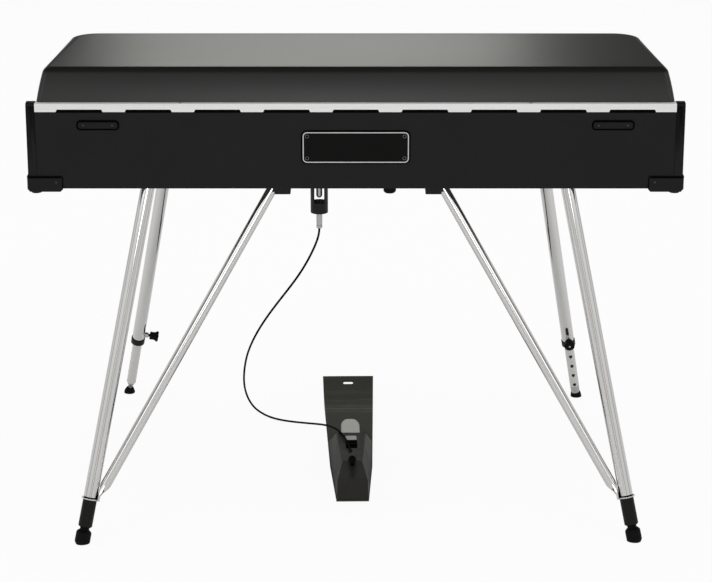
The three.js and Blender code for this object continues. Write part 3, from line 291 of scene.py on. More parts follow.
def swept(name, sections, material, body, node=None):
    """A solid through closed sections of equal length, capped by its first and last section."""
    sections = np.asarray(sections, float)
    count, size = sections.shape[:2]
    around = np.arange(size)
    faces = grid_faces(count, size).tolist()
    faces += [around[::-1].tolist(), (around + (count - 1) * size).tolist()]
    return piece(name, sections, faces, material, body, node, FLAT_SHARP)


def ribbon(name, path, out, across, depth, width, material, body):
    """A flat strip along a path: at each point its section is the rectangle from depth[0] to
    depth[1] along the outward direction and from 0 to that point's width across the strip."""
    path, out, across = (np.asarray(v, float) for v in (path, out, across))
    side = across * np.asarray(width, float)[:, None]
    low, high = out * depth[0], out * depth[1]
    sections = np.stack([path + low, path + high, path + high + side, path + low + side], 1)
    return swept(name, sections, material, body)


def slab(name, low, high, edge, material, body):
    """A block between two corners whose edges are rounded by a Bevel."""
    points = np.asarray(low) + BOX_CORNERS * (np.asarray(high) - np.asarray(low))
    made = piece(name, points, BOX_FACES, material, body)
    bevelled(made, edge, 3)
    return made


def bevelled(made, width, segments):
    bevel = made.modifiers.new("edges", "BEVEL")
    bevel.width, bevel.segments = width, segments
    bevel.limit_method, bevel.angle_limit = "ANGLE", math.radians(40)
    bevel.use_clamp_overlap = True


def repeated(name, points, faces, shifts, stretches, material, body):
    """One small shape set down many times: each copy is stretched about its origin, then shifted."""
    points, shifts, stretches = (np.asarray(v, float) for v in (points, shifts, stretches))
    copies = points[None] * stretches[:, None] + shifts[:, None]
    steps = np.arange(len(shifts)) * len(points)
    every = [[corner + step for corner in face] for step in steps.tolist() for face in faces]
    return piece(name, copies, every, material, body)


def refined(node, material, body, width, segments=2, sharp=SHARP):
    """A merged copy of a CAD node with its flat faces joined and its edges rounded by a Bevel."""
    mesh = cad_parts[node].data.copy()
    b = bmesh.new()
    b.from_mesh(mesh)
    bmesh.ops.remove_doubles(b, verts=b.verts, dist=2e-6)
    bmesh.ops.dissolve_limit(b, angle_limit=math.radians(0.6), verts=b.verts, edges=b.edges)
    b.to_mesh(mesh)
    b.free()
    mesh.materials.clear()
    made = dress(mesh, f"{node}_skin", material, body, node, sharp)
    bevelled(made, width, segments)
    return made


def bolt_head(radius, height):
    return [[0, 0], [radius, 0], [radius, height * 0.8], [radius * 0.85, height], [0, height]]


def ringed_screw(name, place, direction, radius):
    """A black screw head with a pale rim."""
    frame = axes(place, direction, (0.3, 0.7, 0.6))
    rim = np.array([[0.7, -0.1], [1.0, -0.1], [1.0, 0.12], [0.85, 0.22], [0.7, 0.12], [0.7, -0.1]])
    turned(f"{name}_rim", rim * radius, frame, "screw", "case", sides=24, slot="steel")
    screw(name, place, direction, radius * 0.7, "void")


def screw(name, place, direction, radius, material):
    """A domed screw head with a recess: the dome's radius falls as a quarter circle."""
    t = np.linspace(0, 1, 6)
    across, up = np.cos(t * math.pi / 2 * 0.92), 0.45 * np.sin(t * math.pi / 2)
    dome = radius * np.stack([across, up], -1)
    profile = np.concatenate([[[0, -0.2 * MM], [radius, -0.2 * MM]], dome,
                              [[radius * 0.12, radius * 0.4], [0, radius * 0.22]]])
    frame = axes(place, direction, (0.3, 0.7, 0.6))
    return turned(name, profile, frame, material, "case", sides=20, slot="steel")


class Wire:
    """A socket in a node tree; its operators add Math nodes."""

    def __init__(self, tree, socket):
        self.tree, self.socket = tree, socket

    def _math(self, operation, *others):
        return self.tree.node("ShaderNodeMath", {"operation": operation},
                              dict(enumerate([self, *others])))

    def __add__(self, other):
        return self._math("ADD", other)

    def __sub__(self, other):
        return self._math("SUBTRACT", other)

    def __mul__(self, other):
        return self._math("MULTIPLY", other)

    def __rsub__(self, other):
        return self.tree.node("ShaderNodeMath", {"operation": "SUBTRACT"}, {0: other, 1: self})

    __radd__, __rmul__ = __add__, __mul__

    def absolute(self):
        return self._math("ABSOLUTE")

    def turned_from(self, other):
        """The angle whose tangent is this over the other, in radians."""
        return self._math("ARCTAN2", other)

    def ramp(self, low, high):
        """0 below low, 1 above high and straight between them."""
        return self.tree.node("ShaderNodeMapRange", {"clamp": True},
                              {0: self, 1: low, 2: high, 3: 0.0, 4: 1.0})

    def steps(self, *stops):
        """A level for each place between 0 and 1, straight between the stops (place, level)."""
        return self.tree.node("ShaderNodeValToRGB", {"stops": stops}, {0: self})


class Tree:
    """A node tree that is built by calls."""

    def __init__(self, tree):
        self.nodes, self.links = tree.nodes, tree.links

    def node(self, kind, settings, sockets, out=0):
        """Adds a node of a type, sets it, then gives its sockets values or links."""
        made = self.nodes.new(kind)
        for key, value in settings.items():
            if key == "stops":
                elements = made.color_ramp.elements
                while len(elements) < len(value):
                    elements.new(0.5)
                for element, (place, level) in zip(elements, value):
                    element.position = place
                    element.color = (level, level, level, 1)
            else:
                setattr(made, key, value)
        for key, value in sockets.items():
            if isinstance(value, Wire):
                self.links.new(value.socket, made.inputs[key])
            else:
                made.inputs[key].default_value = value
        return Wire(self, made.outputs[out])


class Finish(Tree):
    """A node material that is built by calls."""

    def __init__(self, name, **settings):
        self.material = bpy.data.materials.new(name)
        self.material.use_nodes = True
        super().__init__(self.material.node_tree)
        self.shader = self.nodes["Principled BSDF"]
        for key, value in settings.items():
            self.shader.inputs[key.replace("_", " ")].default_value = value
        self.material.diffuse_color = tuple(settings.get("Base_Color", (0.5, 0.5, 0.5, 1)))

    def place(self):
        """The point on the piece, in the row frame."""
        return self.node("ShaderNodeTexCoord", {}, {}, "Object")

    def stretched(self, scale):
        return self.node("ShaderNodeMapping", {}, {0: self.place(), 3: scale})

    def part(self, axis):
        """One coordinate of the point, in metres."""
        return self.node("ShaderNodeSeparateXYZ", {}, {0: self.place()}, axis)

    def noise(self, scale, detail=3, vector=None):
        sockets = {"Vector": vector or self.place(), "Scale": scale, "Detail": detail}
        return self.node("ShaderNodeTexNoise", {}, sockets, "Fac")

    def cells(self, scale):
        sockets = {"Vector": self.place(), "Scale": scale}
        return self.node("ShaderNodeTexVoronoi", {}, sockets, "Distance")

    def mixed(self, share, a, b):
        """Colour a where share is 0 and b where it is 1."""
        return self.node("ShaderNodeMix", {"data_type": "RGBA"}, {0: share, 6: a, 7: b}, 2)

    def toned(self, share, a, b, rough):
        """Mixes the base colour by share, and gives the roughness its wire."""
        self.feed("Base Color", self.mixed(share, a, b))
        self.feed("Roughness", rough)

    def feed(self, socket, wire):
        self.links.new(wire.socket, self.shader.inputs[socket])

    def bump(self, height, strength, distance):
        sockets = {"Strength": strength, "Distance": distance, "Height": height}
        self.feed("Normal", self.node("ShaderNodeBump", {}, sockets))
        return self.material


def grey(value, warm=0.0):
    """A neutral colour, a little warmer where warm is above 0."""
    return (value * (1 + warm), value, value * (1 - warm), 1.0)


def shaded(colour, factor):
    """A colour made darker or lighter."""
    return tuple(min(1.0, c * factor) for c in colour[:3]) + (1.0,)


def vinyl_finish(colour):
    """Black vinyl cloth: fine pebbles, slight patches of wear."""
    f = Finish("vinyl covering", Base_Color=colour, Roughness=0.5, Specular_IOR_Level=0.2)
    patches = f.noise(9, 4)
    f.toned(patches.ramp(0.35, 0.7), shaded(colour, 0.85), shaded(colour, 1.3),
            patches.ramp(0.3, 0.7) * 0.14 + 0.44)
    pebbles = f.cells(900) + f.noise(1400, 2) * 0.5
    return f.bump(pebbles, 0.35, 0.3 * MM)


def hood_finish(colour):
    """Moulded black shell with a faint grain and soft smudges."""
    f = Finish("moulded hood", Base_Color=colour, Roughness=0.34, Specular_IOR_Level=0.5)
    clouds = f.noise(3, 1)
    f.toned(clouds, shaded(colour, 0.9), shaded(colour, 1.1), clouds * 0.03 + 0.325)
    return f.bump(f.noise(1600, 3) + f.cells(700) * 0.5, 0.08, 0.2 * MM)


def aluminium_finish(name, colour, rough=0.32, grain=(4, 900, 900), metallic=0.85):
    """Satin metal with drawn lines along its grain."""
    f = Finish(name, Base_Color=colour, Metallic=metallic, Roughness=rough)
    lines = f.noise(1.0, 4, f.stretched(grain))
    f.toned(lines.ramp(0.3, 0.7), shaded(colour, 0.93), shaded(colour, 1.03),
            lines * 0.18 + (rough - 0.09))
    return f.bump(lines, 0.08, 0.05 * MM)


def chrome_finish(name, level, rough=0.06):
    """Chrome plate: a near mirror, with faint haze, and black painted shade, not metal, in the pits
    that stand for slots and holes.
    """
    f = Finish(name, Base_Color=grey(level), Metallic=1.0, Roughness=rough)
    haze = f.noise(14, 1)
    # The pit attribute marks painted shade: black where a dent stands for a slot or hole
    pit = f.node("ShaderNodeAttribute", {"attribute_name": "pit"}, {}, "Fac")
    bright = f.mixed(haze, grey(level * 0.97, 0.008), grey(level * 1.03, 0.012))
    f.toned(pit, bright, grey(0.002), haze * 0.02 + pit * 0.6 + rough)
    f.feed("Metallic", 1 - pit)
    return f.bump(f.noise(120, 1), 0.01, 0.05 * MM)


def rubber_finish(name, colour, rough=0.6, shine=0.15):
    """Matt black rubber with fine speckle and dust."""
    f = Finish(name, Base_Color=colour, Roughness=rough, Specular_IOR_Level=shine)
    dust = f.noise(60, 5)
    f.toned(dust.ramp(0.4, 0.75), colour, shaded(colour, 1.5),
            dust.ramp(0.3, 0.7) * 0.12 + (rough - 0.06))
    return f.bump(f.noise(1800, 2), 0.25, 0.12 * MM)


def plastic_finish(name, colour, rough=0.42, shine=0.25):
    """Moulded plastic with a fine spark-eroded grain."""
    f = Finish(name, Base_Color=colour, Roughness=rough, Specular_IOR_Level=shine)
    tone = f.noise(30, 3)
    f.toned(tone.ramp(0.3, 0.7), shaded(colour, 0.88), shaded(colour, 1.12),
            tone.ramp(0.3, 0.7) * 0.1 + (rough - 0.05))
    return f.bump(f.noise(2200, 2), 0.2, 0.08 * MM)


def key_finish(ivory, ebony):
    """White keys with a slight cream mottle, and black above the white keys' tops."""
    f = Finish("keys", Base_Color=ivory, Roughness=0.22, Specular_IOR_Level=0.5)
    black = f.part("Z").ramp(KEY_TOP + 0.15 * MM, KEY_TOP + 0.3 * MM)
    mottle = f.noise(24, 3)
    white = f.mixed(mottle.ramp(0.3, 0.7), ivory, shaded(ivory, 0.93))
    f.toned(black, white, ebony, mottle * 0.1 + 0.18)
    return f.bump(f.noise(90, 3), 0.03, 0.1 * MM)


def wood_finish(colour):
    """Plain light wood with long grain along X."""
    f = Finish("plain wood", Base_Color=colour, Roughness=0.6)
    grain = f.noise(1.0, 6, f.stretched((6, 160, 160)))
    f.toned(grain.ramp(0.3, 0.7), colour, shaded(colour, 0.6), grain * 0.2 + 0.5)
    return f.bump(grain, 0.15, 0.2 * MM)


def heel_finish(colour):
    """Black heel plate with pale streaks of painted highlight in a band across it, near Y = -0.31."""
    f = Finish("heel plate", Base_Color=colour, Roughness=0.6, Specular_IOR_Level=0.1)
    # Pale streaks of painted highlight, only within a band across the plate
    highlight_streaks = f.noise(1.0, 3, f.stretched((5, 150, 150))).ramp(0.5, 0.75)
    highlight_band = 1 - (f.part("Y") + 0.31).absolute().ramp(0.02, 0.06)
    f.toned(highlight_streaks * highlight_band, colour, shaded(colour, 2.2), f.noise(40, 3) * 0.2 + 0.5)
    return f.bump(f.noise(700, 3), 0.12, 0.1 * MM)


def cable_finish(colour):
    """Smooth black jacket with slight unevenness."""
    f = Finish("cable jacket", Base_Color=colour, Roughness=0.7, Specular_IOR_Level=0.02)
    tone = f.noise(120, 2)
    f.toned(tone, colour, shaded(colour, 1.5), tone * 0.2 + 0.6)
    return f.bump(f.noise(900, 2), 0.1, 0.05 * MM)


def plain_finish(name, colour, rough, metallic=0.0, shine=0.5, scale=80.0):
    """A small part's finish: one colour with a light mottle."""
    f = Finish(name, Base_Color=colour, Roughness=rough, Metallic=metallic, Specular_IOR_Level=shine)
    tone = f.noise(scale, 3)
    f.toned(tone, shaded(colour, 0.92), shaded(colour, 1.08), tone * 0.12 + (rough - 0.06))
    return f.material


MADE = {}


def finish(name):
    """The named material, made once from the panel's colours."""
    if name in MADE:
        return MADE[name]
    colours = bpy.context.scene.piano_colours

    def own(key):
        return tuple(getattr(colours, key)) + (1.0,)

    makers = {
        "vinyl": (vinyl_finish, own("vinyl")),
        "hood": (hood_finish, own("hood")),
        "rail": (aluminium_finish, "satin rail", own("rail"), 0.45, (4, 900, 900), 0.25),
        "harp": (aluminium_finish, "cast harp", grey(0.5), 0.45, (200, 200, 200)),
        "lever": (aluminium_finish, "brushed lever", own("lever"), 0.4, (900, 12, 900)),
        "chrome": (chrome_finish, "bright chrome", 0.7),
        "brace chrome": (chrome_finish, "brace chrome", 0.7, 0.1),
        "steel": (aluminium_finish, "turned steel", grey(0.5, 0.03), 0.3, (300, 300, 300)),
        "rubber": (rubber_finish, "black rubber", own("rubber"), 0.6, 0.1),
        "sleeve": (rubber_finish, "sleeve rubber", grey(0.004, 0.15), 0.5, 0.2),
        "guard": (plastic_finish, "corner guard", own("guard"), 0.45, 0.2),
        "plastic": (plastic_finish, "black plastic", own("plastic"), 0.42, 0.25),
        "nameplate": (plastic_finish, "nameplate face", grey(0.0034, 0.08), 0.4, 0.08),
        "border": (plain_finish, "border line", grey(0.6, 0.005), 0.5, 0.1),
        "screw": (plain_finish, "dark screw", grey(0.16), 0.45, 0.4),
        "black screw": (plain_finish, "black screw", grey(0.03), 0.5, 0.2),
        "bright screw": (plain_finish, "bright screw", grey(0.6), 0.3, 0.9),
        "keys": (key_finish, own("ivory"), own("ebony")),
        "wood": (wood_finish, own("wood")),
        "heel": (heel_finish, own("heel")),
        "housing": (plastic_finish, "pedal housing", own("housing"), 0.5, 0.15),
        "cable": (cable_finish, own("cable")),
        "label": (plain_finish, "bare label", grey(0.42, 0.02), 0.5, 0.3),
        "felt red": (plain_finish, "red felt", (0.25, 0.012, 0.015, 1), 0.95, 0.0, 0.1, 400),
        "felt grey": (plain_finish, "grey felt", grey(0.3), 0.95, 0.0, 0.1, 400),
        # Near black: painted shade in gaps, notches, holes and recesses, and the colour of a few black
        # marks and screw heads
        "void": (plain_finish, "dark recess", grey(0.0015), 0.9, 0.0, 0.02),
        "copper": (plain_finish, "pickup coil", (0.35, 0.11, 0.05, 1), 0.4, 0.6),
        "white mark": (plain_finish, "white mark", grey(0.7), 0.5),
    }
    maker, *values = makers[name]
    MADE[name] = maker(*values)
    return MADE[name]


def length_property(name, description, value):
    return bpy.props.FloatProperty(name=name, description=description, default=value, unit="LENGTH")


def colour_property(name, description, value):
    return bpy.props.FloatVectorProperty(name=name, description=description, default=value,
                                         subtype="COLOR", size=3, min=0, max=1)


class PianoSizes(bpy.types.PropertyGroup):
    """Sizes of the dressed pieces that a user may change."""

    edge: length_property("Case edge", "Rounding of the covered edges", 1.6 * MM)
    hood_crown: length_property("Hood crown", "Rise of the hood's middle", 0.5 * MM)
    hood_wall: length_property("Hood wall", "Thickness of the hood shell", 3.5 * MM)
    key_edge: length_property("Key edge", "Rounding of the keys", 0.8 * MM)
    cable_diameter: length_property("Cable", "Diameter of the pedal cable", 4.0 * MM)
    camera_height: length_property("Height", "Camera above the floor", 1.793)
    camera_back: length_property("Distance", "Camera behind the rear panel", 4.152)
    lens: bpy.props.FloatProperty(name="Lens", description="Focal length in mm", default=123.42)
    camera_pitch: bpy.props.FloatProperty(name="Pitch", description="Camera's tilt below level",
                                          default=math.radians(17.95), subtype="ANGLE")


class PianoColours(bpy.types.PropertyGroup):
    """Colours of the main finishes."""

    vinyl: colour_property("Vinyl", "Covering of the case", (0.0055, 0.0055, 0.0056))
    hood: colour_property("Hood", "Moulded hood", (0.0085, 0.0083, 0.0074))
    rail: colour_property("Rails", "Aluminium rails", (0.86, 0.86, 0.85))
    lever: colour_property("Lever", "Pedal lever", (0.36, 0.37, 0.345))
    rubber: colour_property("Rubber", "Feet and tips", (0.003, 0.003, 0.0028))
    guard: colour_property("Guards", "Corner guards and side plates", (0.004, 0.004, 0.004))
    plastic: colour_property("Plastic", "Black plastic parts", (0.005, 0.005, 0.0047))
    ivory: colour_property("White keys", "White key tops", (0.83, 0.80, 0.70))
    ebony: colour_property("Black keys", "Black keys", (0.012, 0.012, 0.012))
    wood: colour_property("Wood", "Key frame and damper bar", (0.45, 0.29, 0.14))
    heel: colour_property("Heel plate", "Pedal's heel plate", (0.052, 0.052, 0.043))
    housing: colour_property("Pedal housing", "Pedal's housing", (0.024, 0.0232, 0.021))
    cable: colour_property("Cable", "Cable jacket", (0.003, 0.003, 0.003))


class PianoStage(bpy.types.Operator):
    """Floor, lamps, world and the camera"""

    bl_idname = "piano.stage"
    bl_label = "Stage"

    def execute(self, context):
        scene, sizes = context.scene, context.scene.piano_sizes
        scene.view_settings.view_transform = "Standard"
        camera = bpy.data.cameras.new("camera")
        camera.lens, camera.sensor_width = sizes.lens, 36.0
        camera.shift_x = 0.5 / 712
        camera.clip_end = 60
        seen = bpy.data.objects.new("camera", camera)
        scene.collection.objects.link(seen)
        seen.location = (0, REAR + sizes.camera_back, sizes.camera_height)
        seen.rotation_euler = (math.pi / 2 - sizes.camera_pitch, 0, math.pi)
        scene.camera = seen

        mesh = bpy.data.meshes.new("floor")
        corners = [[x, y, -0.4 * MM] for x, y in ((-14, -14), (14, -14), (14, 14), (-14, 14))]
        mesh.from_pydata(corners, [], [[0, 1, 2, 3]])
        floor = bpy.data.objects.new("floor", mesh)
        scene.collection.objects.link(floor)
        mesh.materials.append(self.floor_material())
        self.world(scene)
        self.lamps(scene)
        return {"FINISHED"}

    def floor_material(self):
        """Pale floor: white to the camera but for a soft shadow, and a little paler in gloss."""
        f = Finish("pale floor", Base_Color=grey(0.88), Roughness=0.8, Specular_IOR_Level=0.2)
        camera = f.node("ShaderNodeLightPath", {}, {}, "Is Camera Ray")
        gloss = f.node("ShaderNodeLightPath", {}, {}, "Is Glossy Ray")
        glow = f.node("ShaderNodeEmission", {}, {"Strength": 1.0})
        lit = Wire(f, f.shader.outputs[0])
        mix = f.node("ShaderNodeMixShader", {}, {0: camera * 0.93 + gloss * 0.12, 1: lit, 2: glow})
        f.links.new(mix.socket, f.nodes["Material Output"].inputs[0])
        return f.material

    def world(self, scene):
        """White to the camera, a plain level to matt surfaces, and to gloss a white studio that
        darkens overhead and has a few thin dark joints between its white boards."""
        world = bpy.data.worlds.new("studio")
        scene.world = world
        world.use_nodes = True
        t = Tree(world.node_tree)
        direction = t.node("ShaderNodeTexCoord", {}, {}, "Generated")
        x, y, z = (t.node("ShaderNodeSeparateXYZ", {}, {0: direction}, axis) for axis in "XYZ")
        height = z.absolute().steps((0, 0.72), (0.1, 0.75), (0.2, 0.85), (0.33, 0.85), (0.44, 0.3),
                                    (0.6, 0.1), (0.75, 0.04), (1, 0.04))
        around = x.absolute().turned_from(y) * (1 / math.pi)
        boards = around.steps((0, 1), (0.058, 1), (0.064, 0.12), (0.08, 0.12), (0.086, 1), (0.375, 1),
                              (0.385, 0.45), (0.43, 0.45), (0.44, 1), (0.62, 1), (0.63, 0.6),
                              (0.68, 0.6), (0.69, 1), (0.86, 1), (0.91, 0.14), (1, 0.14))
        camera = t.node("ShaderNodeLightPath", {}, {}, "Is Camera Ray")
        gloss = t.node("ShaderNodeLightPath", {}, {}, "Is Glossy Ray")
        matt = 1 - camera - gloss
        level = camera + gloss * (height * boards) + matt * 0.6
        back = t.nodes["Background"]
        back.inputs["Color"].default_value = (1, 1, 1, 1)
        t.links.new(level.socket, back.inputs["Strength"])

    def lamps(self, scene):
        """Broad soft lamps: (name, place, aim, width, height, power)."""
        for name, place, aim, width, height, power in (
            ("top lamp", (0.0, 0.5, 3.6), (0, 0, 0.5), 3.0, 3.0, 22),
            ("left lamp", (2.8, 3.2, 2.6), (0, 0, 0.5), 1.8, 1.8, 12.5),
            ("right lamp", (-2.8, 3.2, 2.6), (0, 0, 0.5), 1.8, 1.8, 12.5),
            ("left low lamp", (3.4, 0.1, 1.2), (0, 0, 0.1), 1.2, 1.2, 7),
            ("right low lamp", (-3.4, 0.1, 1.2), (0, 0, 0.1), 1.2, 1.2, 7),
            ("camera lamp", (0.05, REAR + 4.4, 1.65), (0, REAR, 0.8), 1.5, 0.8, 13),
            ("back lamp", (0.14, -4.0, 2.1), (0, 0, 0.8), 1.46, 1.1, 11.2),
        ):
            light = bpy.data.lights.new(name, "AREA")
            light.energy = power
            light.color = (1, 0.998, 0.945) if name == "back lamp" else (1, 1, 1)
            light.shape, light.size, light.size_y = "RECTANGLE", width, height
            lamp = bpy.data.objects.new(name, light)
            scene.collection.objects.link(lamp)
            rows = axes(place, np.subtract(place, aim), (1, 0, 0.01))[1]
            lamp.location = place
            lamp.rotation_euler = Matrix(rows.T.tolist()).to_euler()
            lamp.visible_camera = False
            lamp.visible_glossy = name not in ("top lamp", "left low lamp", "right low lamp")


class PianoCable(bpy.types.Operator):
    """Free cable from the actuator's ferrule to the pedal"""

    bl_idname = "piano.cable"
    bl_label = "Pedal cable"

    def execute(self, context):
        diameter = context.scene.piano_sizes.cable_diameter
        points = eased(smooth_route(CABLE_ROUTE, 12), 23)
        curve = bpy.data.curves.new("pedal_cable_jacket", "CURVE")
        curve.dimensions = "3D"
        curve.bevel_depth = diameter / 2
        curve.bevel_resolution = 4
        curve.use_fill_caps = True
        spline = curve.splines.new("POLY")
        spline.points.add(len(points) - 1)
        spline.points.foreach_set("co", np.concatenate([points, np.ones((len(points), 1))], 1).ravel())
        cable = bpy.data.objects.new("pedal_cable_jacket", curve)
        context.scene.collection.objects.link(cable)
        curve.materials.append(finish("cable"))
        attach(cable, "case")
        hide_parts("pedal_cable")
        return {"FINISHED"}


def eased(points, width):
    """A running mean over the points that keeps both ends: the route is mirrored about each end."""
    half = width // 2
    before = 2 * points[0] - points[1 : half + 1][::-1]
    after = 2 * points[-1] - points[-half - 1 : -1][::-1]
    long = np.cumsum(np.concatenate([np.zeros((1, 3)), before, points, after]), axis=0)
    return (long[width:] - long[:-width]) / width


def smooth_route(points, steps):
    """A centripetal Catmull-Rom curve through the points, with steps places per span."""
    p = np.concatenate([[2 * points[0] - points[1]], points, [2 * points[-1] - points[-2]]])
    p0, p1, p2, p3 = (p[i : len(p) - 3 + i][:, None] for i in range(4))

    def gap(a, b):
        return np.linalg.norm(b - a, axis=-1, keepdims=True) ** 0.5

    t1 = gap(p0, p1)
    t2 = t1 + gap(p1, p2)
    t3 = t2 + gap(p2, p3)
    t = t1 + (t2 - t1) * np.linspace(0, 1, steps, endpoint=False)[None, :, None]
    a1 = (t1 - t) / t1 * p0 + t / t1 * p1
    a2 = (t2 - t) / (t2 - t1) * p1 + (t - t1) / (t2 - t1) * p2
    a3 = (t3 - t) / (t3 - t2) * p2 + (t - t2) / (t3 - t2) * p3
    b1 = (t2 - t) / t2 * a1 + t / t2 * a2
    b2 = (t3 - t) / (t3 - t1) * a2 + (t - t1) / (t3 - t1) * a3
    c = (t2 - t) / (t2 - t1) * b1 + (t - t1) / (t2 - t1) * b2
    return np.concatenate([c.reshape(-1, 3), points[-1:]])


class PianoCase(bpy.types.Operator):
    """Covered panels, rails, plates, corner guards and what hangs under the case"""

    bl_idname = "piano.case"
    bl_label = "Case"

    def execute(self, context):
        edge = context.scene.piano_sizes.edge
        refined("rear_panel", "vinyl", "case", 0.4 * MM)
        refined("key_slip", "vinyl", "case", edge, 4)
        for hand in ("left", "right"):
            self.cheek(hand, edge)
        refined("bottom_board", "vinyl", "case", 0.6 * MM, 3)
        self.rail()
        refined("name_rail", "rail", "case", 0.6 * MM)
        self.plates()
        for end, y, away in (("rear", REAR, 1), ("front", FRONT, -1)):
            for hand, side in (("left", -1), ("right", 1)):
                self.guard(f"{end}_{hand}_corner", y, away, side)
        self.underside()
        return {"FINISHED"}

    def cheek(self, hand, edge):
        """Side panel whose level top at the rear is drawn down to the rail and runs further forwards,
        with every long edge rounded but the rear ones that meet the rear panel."""
        drop, longer, level_end, soft_share = 5.2 * MM, 5 * MM, REAR - 0.012, 0.2
        made = refined(f"{hand}_cheek", "vinyl", "case", edge, 4)
        mesh = made.data
        points = np.empty(3 * len(mesh.vertices), np.float32)
        mesh.vertices.foreach_get("co", points)
        points = points.reshape(-1, 3)
        high = points[:, 2] > TOP - 1 * MM
        points[high, 2] -= drop
        points[high & (np.abs(points[:, 1] - level_end) < 1 * MM), 1] -= longer
        mesh.vertices.foreach_set("co", points.ravel())
        ends = np.empty(2 * len(mesh.edges), np.int32)
        mesh.edges.foreach_get("vertices", ends)
        rear = np.all(points[ends.reshape(-1, 2), 1] > REAR - 1e-5, axis=1)
        weight = mesh.attributes.new("bevel_weight_edge", "FLOAT", "EDGE")
        weight.data.foreach_set("value", np.where(rear, soft_share, 1.0).astype(np.float32))
        made.modifiers["edges"].limit_method = "WEIGHT"
        mesh.update()

    def rail(self):
        """Aluminium angle along the rear top edge. Its face is cut away by nine shallow notches with
        slanted ends, and a black strip of painted shade lies behind each of them."""
        face, gauge, low, rise, slant = REAR + FIT, 0.002, TOP - 0.0147, 0.0045, 0.0022
        pitch, wide = 2 * (INSIDE - 0.0778) / 8, 0.0822
        middles = (np.arange(9) - 4)[:, None] * pitch - 0.6 * MM
        half = wide / 2
        steps = np.array([-half - 1e-5, -half, -half + slant, half - slant, half, half + 1e-5])
        ends = INSIDE - FIT
        x = np.concatenate([[-ends], (middles + steps).ravel(), [ends]])
        cut = np.concatenate([[0], np.tile([0, 0, rise, rise, 0, 0], 9), [0]])
        lip = face + gauge - RAIL_LIP
        y = np.array([face, face + gauge, face + gauge, lip, lip, face])
        z = np.array([low, low, TOP, TOP, TOP - gauge, TOP - gauge])
        sections = np.stack(np.broadcast_arrays(x[:, None], y[None], z[None]), -1).copy()
        sections[:, :2, 2] += cut[:, None]
        swept("notched_rail", sections, "rail", "case", "rear_rail")
        # Behind each notch lies a black strip of painted shade
        for i, middle in enumerate(middles.ravel()):
            slab(f"notch_strip_{i + 1}", (middle - half + 1.2 * MM, face - 0.1 * MM, low - 1.6 * MM),
                 (middle + half - 1.2 * MM, face + 0.9 * MM, low + rise + 0.4 * MM), 0.3 * MM,
                 "void", "case")

    def plates(self):
        """Nameplate with a raised border, two side plates and their screws; black rings of painted
        shade round all three, and a band of painted shade along each side plate's top edge.
        """
        back, across = REAR + FIT, -0.5 * MM
        face = axes((across, back, TOP - PLATE_DROP + 0.6 * MM), (0, 1, 0), (-1, 0, 0))
        w, h, r, t = 0.1873, 0.0563, 0.008, 0.0025
        # A black ring of painted shade round the nameplate
        ring_plate("nameplate_seal", (w + 4.6 * MM, h + 4.6 * MM, r + 2.3 * MM), 3 * MM,
                   (0, 0.9 * MM), face, "void", "case")
        levels = [(0, 0), (0, t - 0.4 * MM), (0.4 * MM, t), (1.0 * MM, t), (1.2 * MM, t - 0.5 * MM)]
        plate("nameplate_face", (w, h, r), levels, face, "nameplate", "case", "nameplate")
        ring_plate("nameplate_border", (w - 1.2 * MM, h - 1.2 * MM, r - 0.6 * MM), 1.7 * MM,
                   (t - 0.9 * MM, t + 0.1 * MM), face, "border", "case")
        for i, (x, z) in enumerate(((-85.5, 20), (85.5, 20), (-85.5, -19.6), (85.5, -19.6))):
            place = (x * MM + across, back + t - 0.5 * MM, face[0][2] + z * MM)
            ringed_screw(f"nameplate_screw_{i + 1}", place, (0, 1, 0), 3.2 * MM)
        levels = MM * np.array([(0, 0), (0, 0.9), (0.4, 1.2), (2.2, 1.2), (2.6, 1.6)])
        for hand, side in (("left", -1), ("right", 1)):
            x, z = side * (HALF - SIDE_PLATE_INSET), TOP - SIDE_PLATE_DROP
            frame = axes((x, back, z), (0, 1, 0), (-1, 0, 0))
            plate(f"{hand}_side_plate_cap", (0.0733, 0.016, 0.0058), levels, frame, "guard", "case",
                  f"{hand}_side_plate")
            # A black ring of painted shade round the side plate
            ring_plate(f"{hand}_side_plate_seal", (0.0745, 0.0172, 0.0062), 2.9 * MM, (0, 1.35 * MM),
                       frame, "void", "case")
            # A thicker band of painted shade along the side plate's top edge
            slab(f"{hand}_side_plate_shade", (x - 0.0325, back, z + 6.3 * MM),
                 (x + 0.0325, back + 1.5 * MM, z + 9.3 * MM), 0.5 * MM, "void", "case")
            for k in (-1, 1):
                place = (x + k * 0.0255, back + 1.5 * MM, z)
                screw(f"{hand}_side_plate_screw_{(k + 3) // 2}", place, (0, 1, 0), 1.9 * MM,
                      "black screw")
            screw(f"{hand}_hood_pin", (side * 0.3065, REAR - 2.5 * MM, TOP), (0, 0, 1), 2.6 * MM,
                  "bright screw")

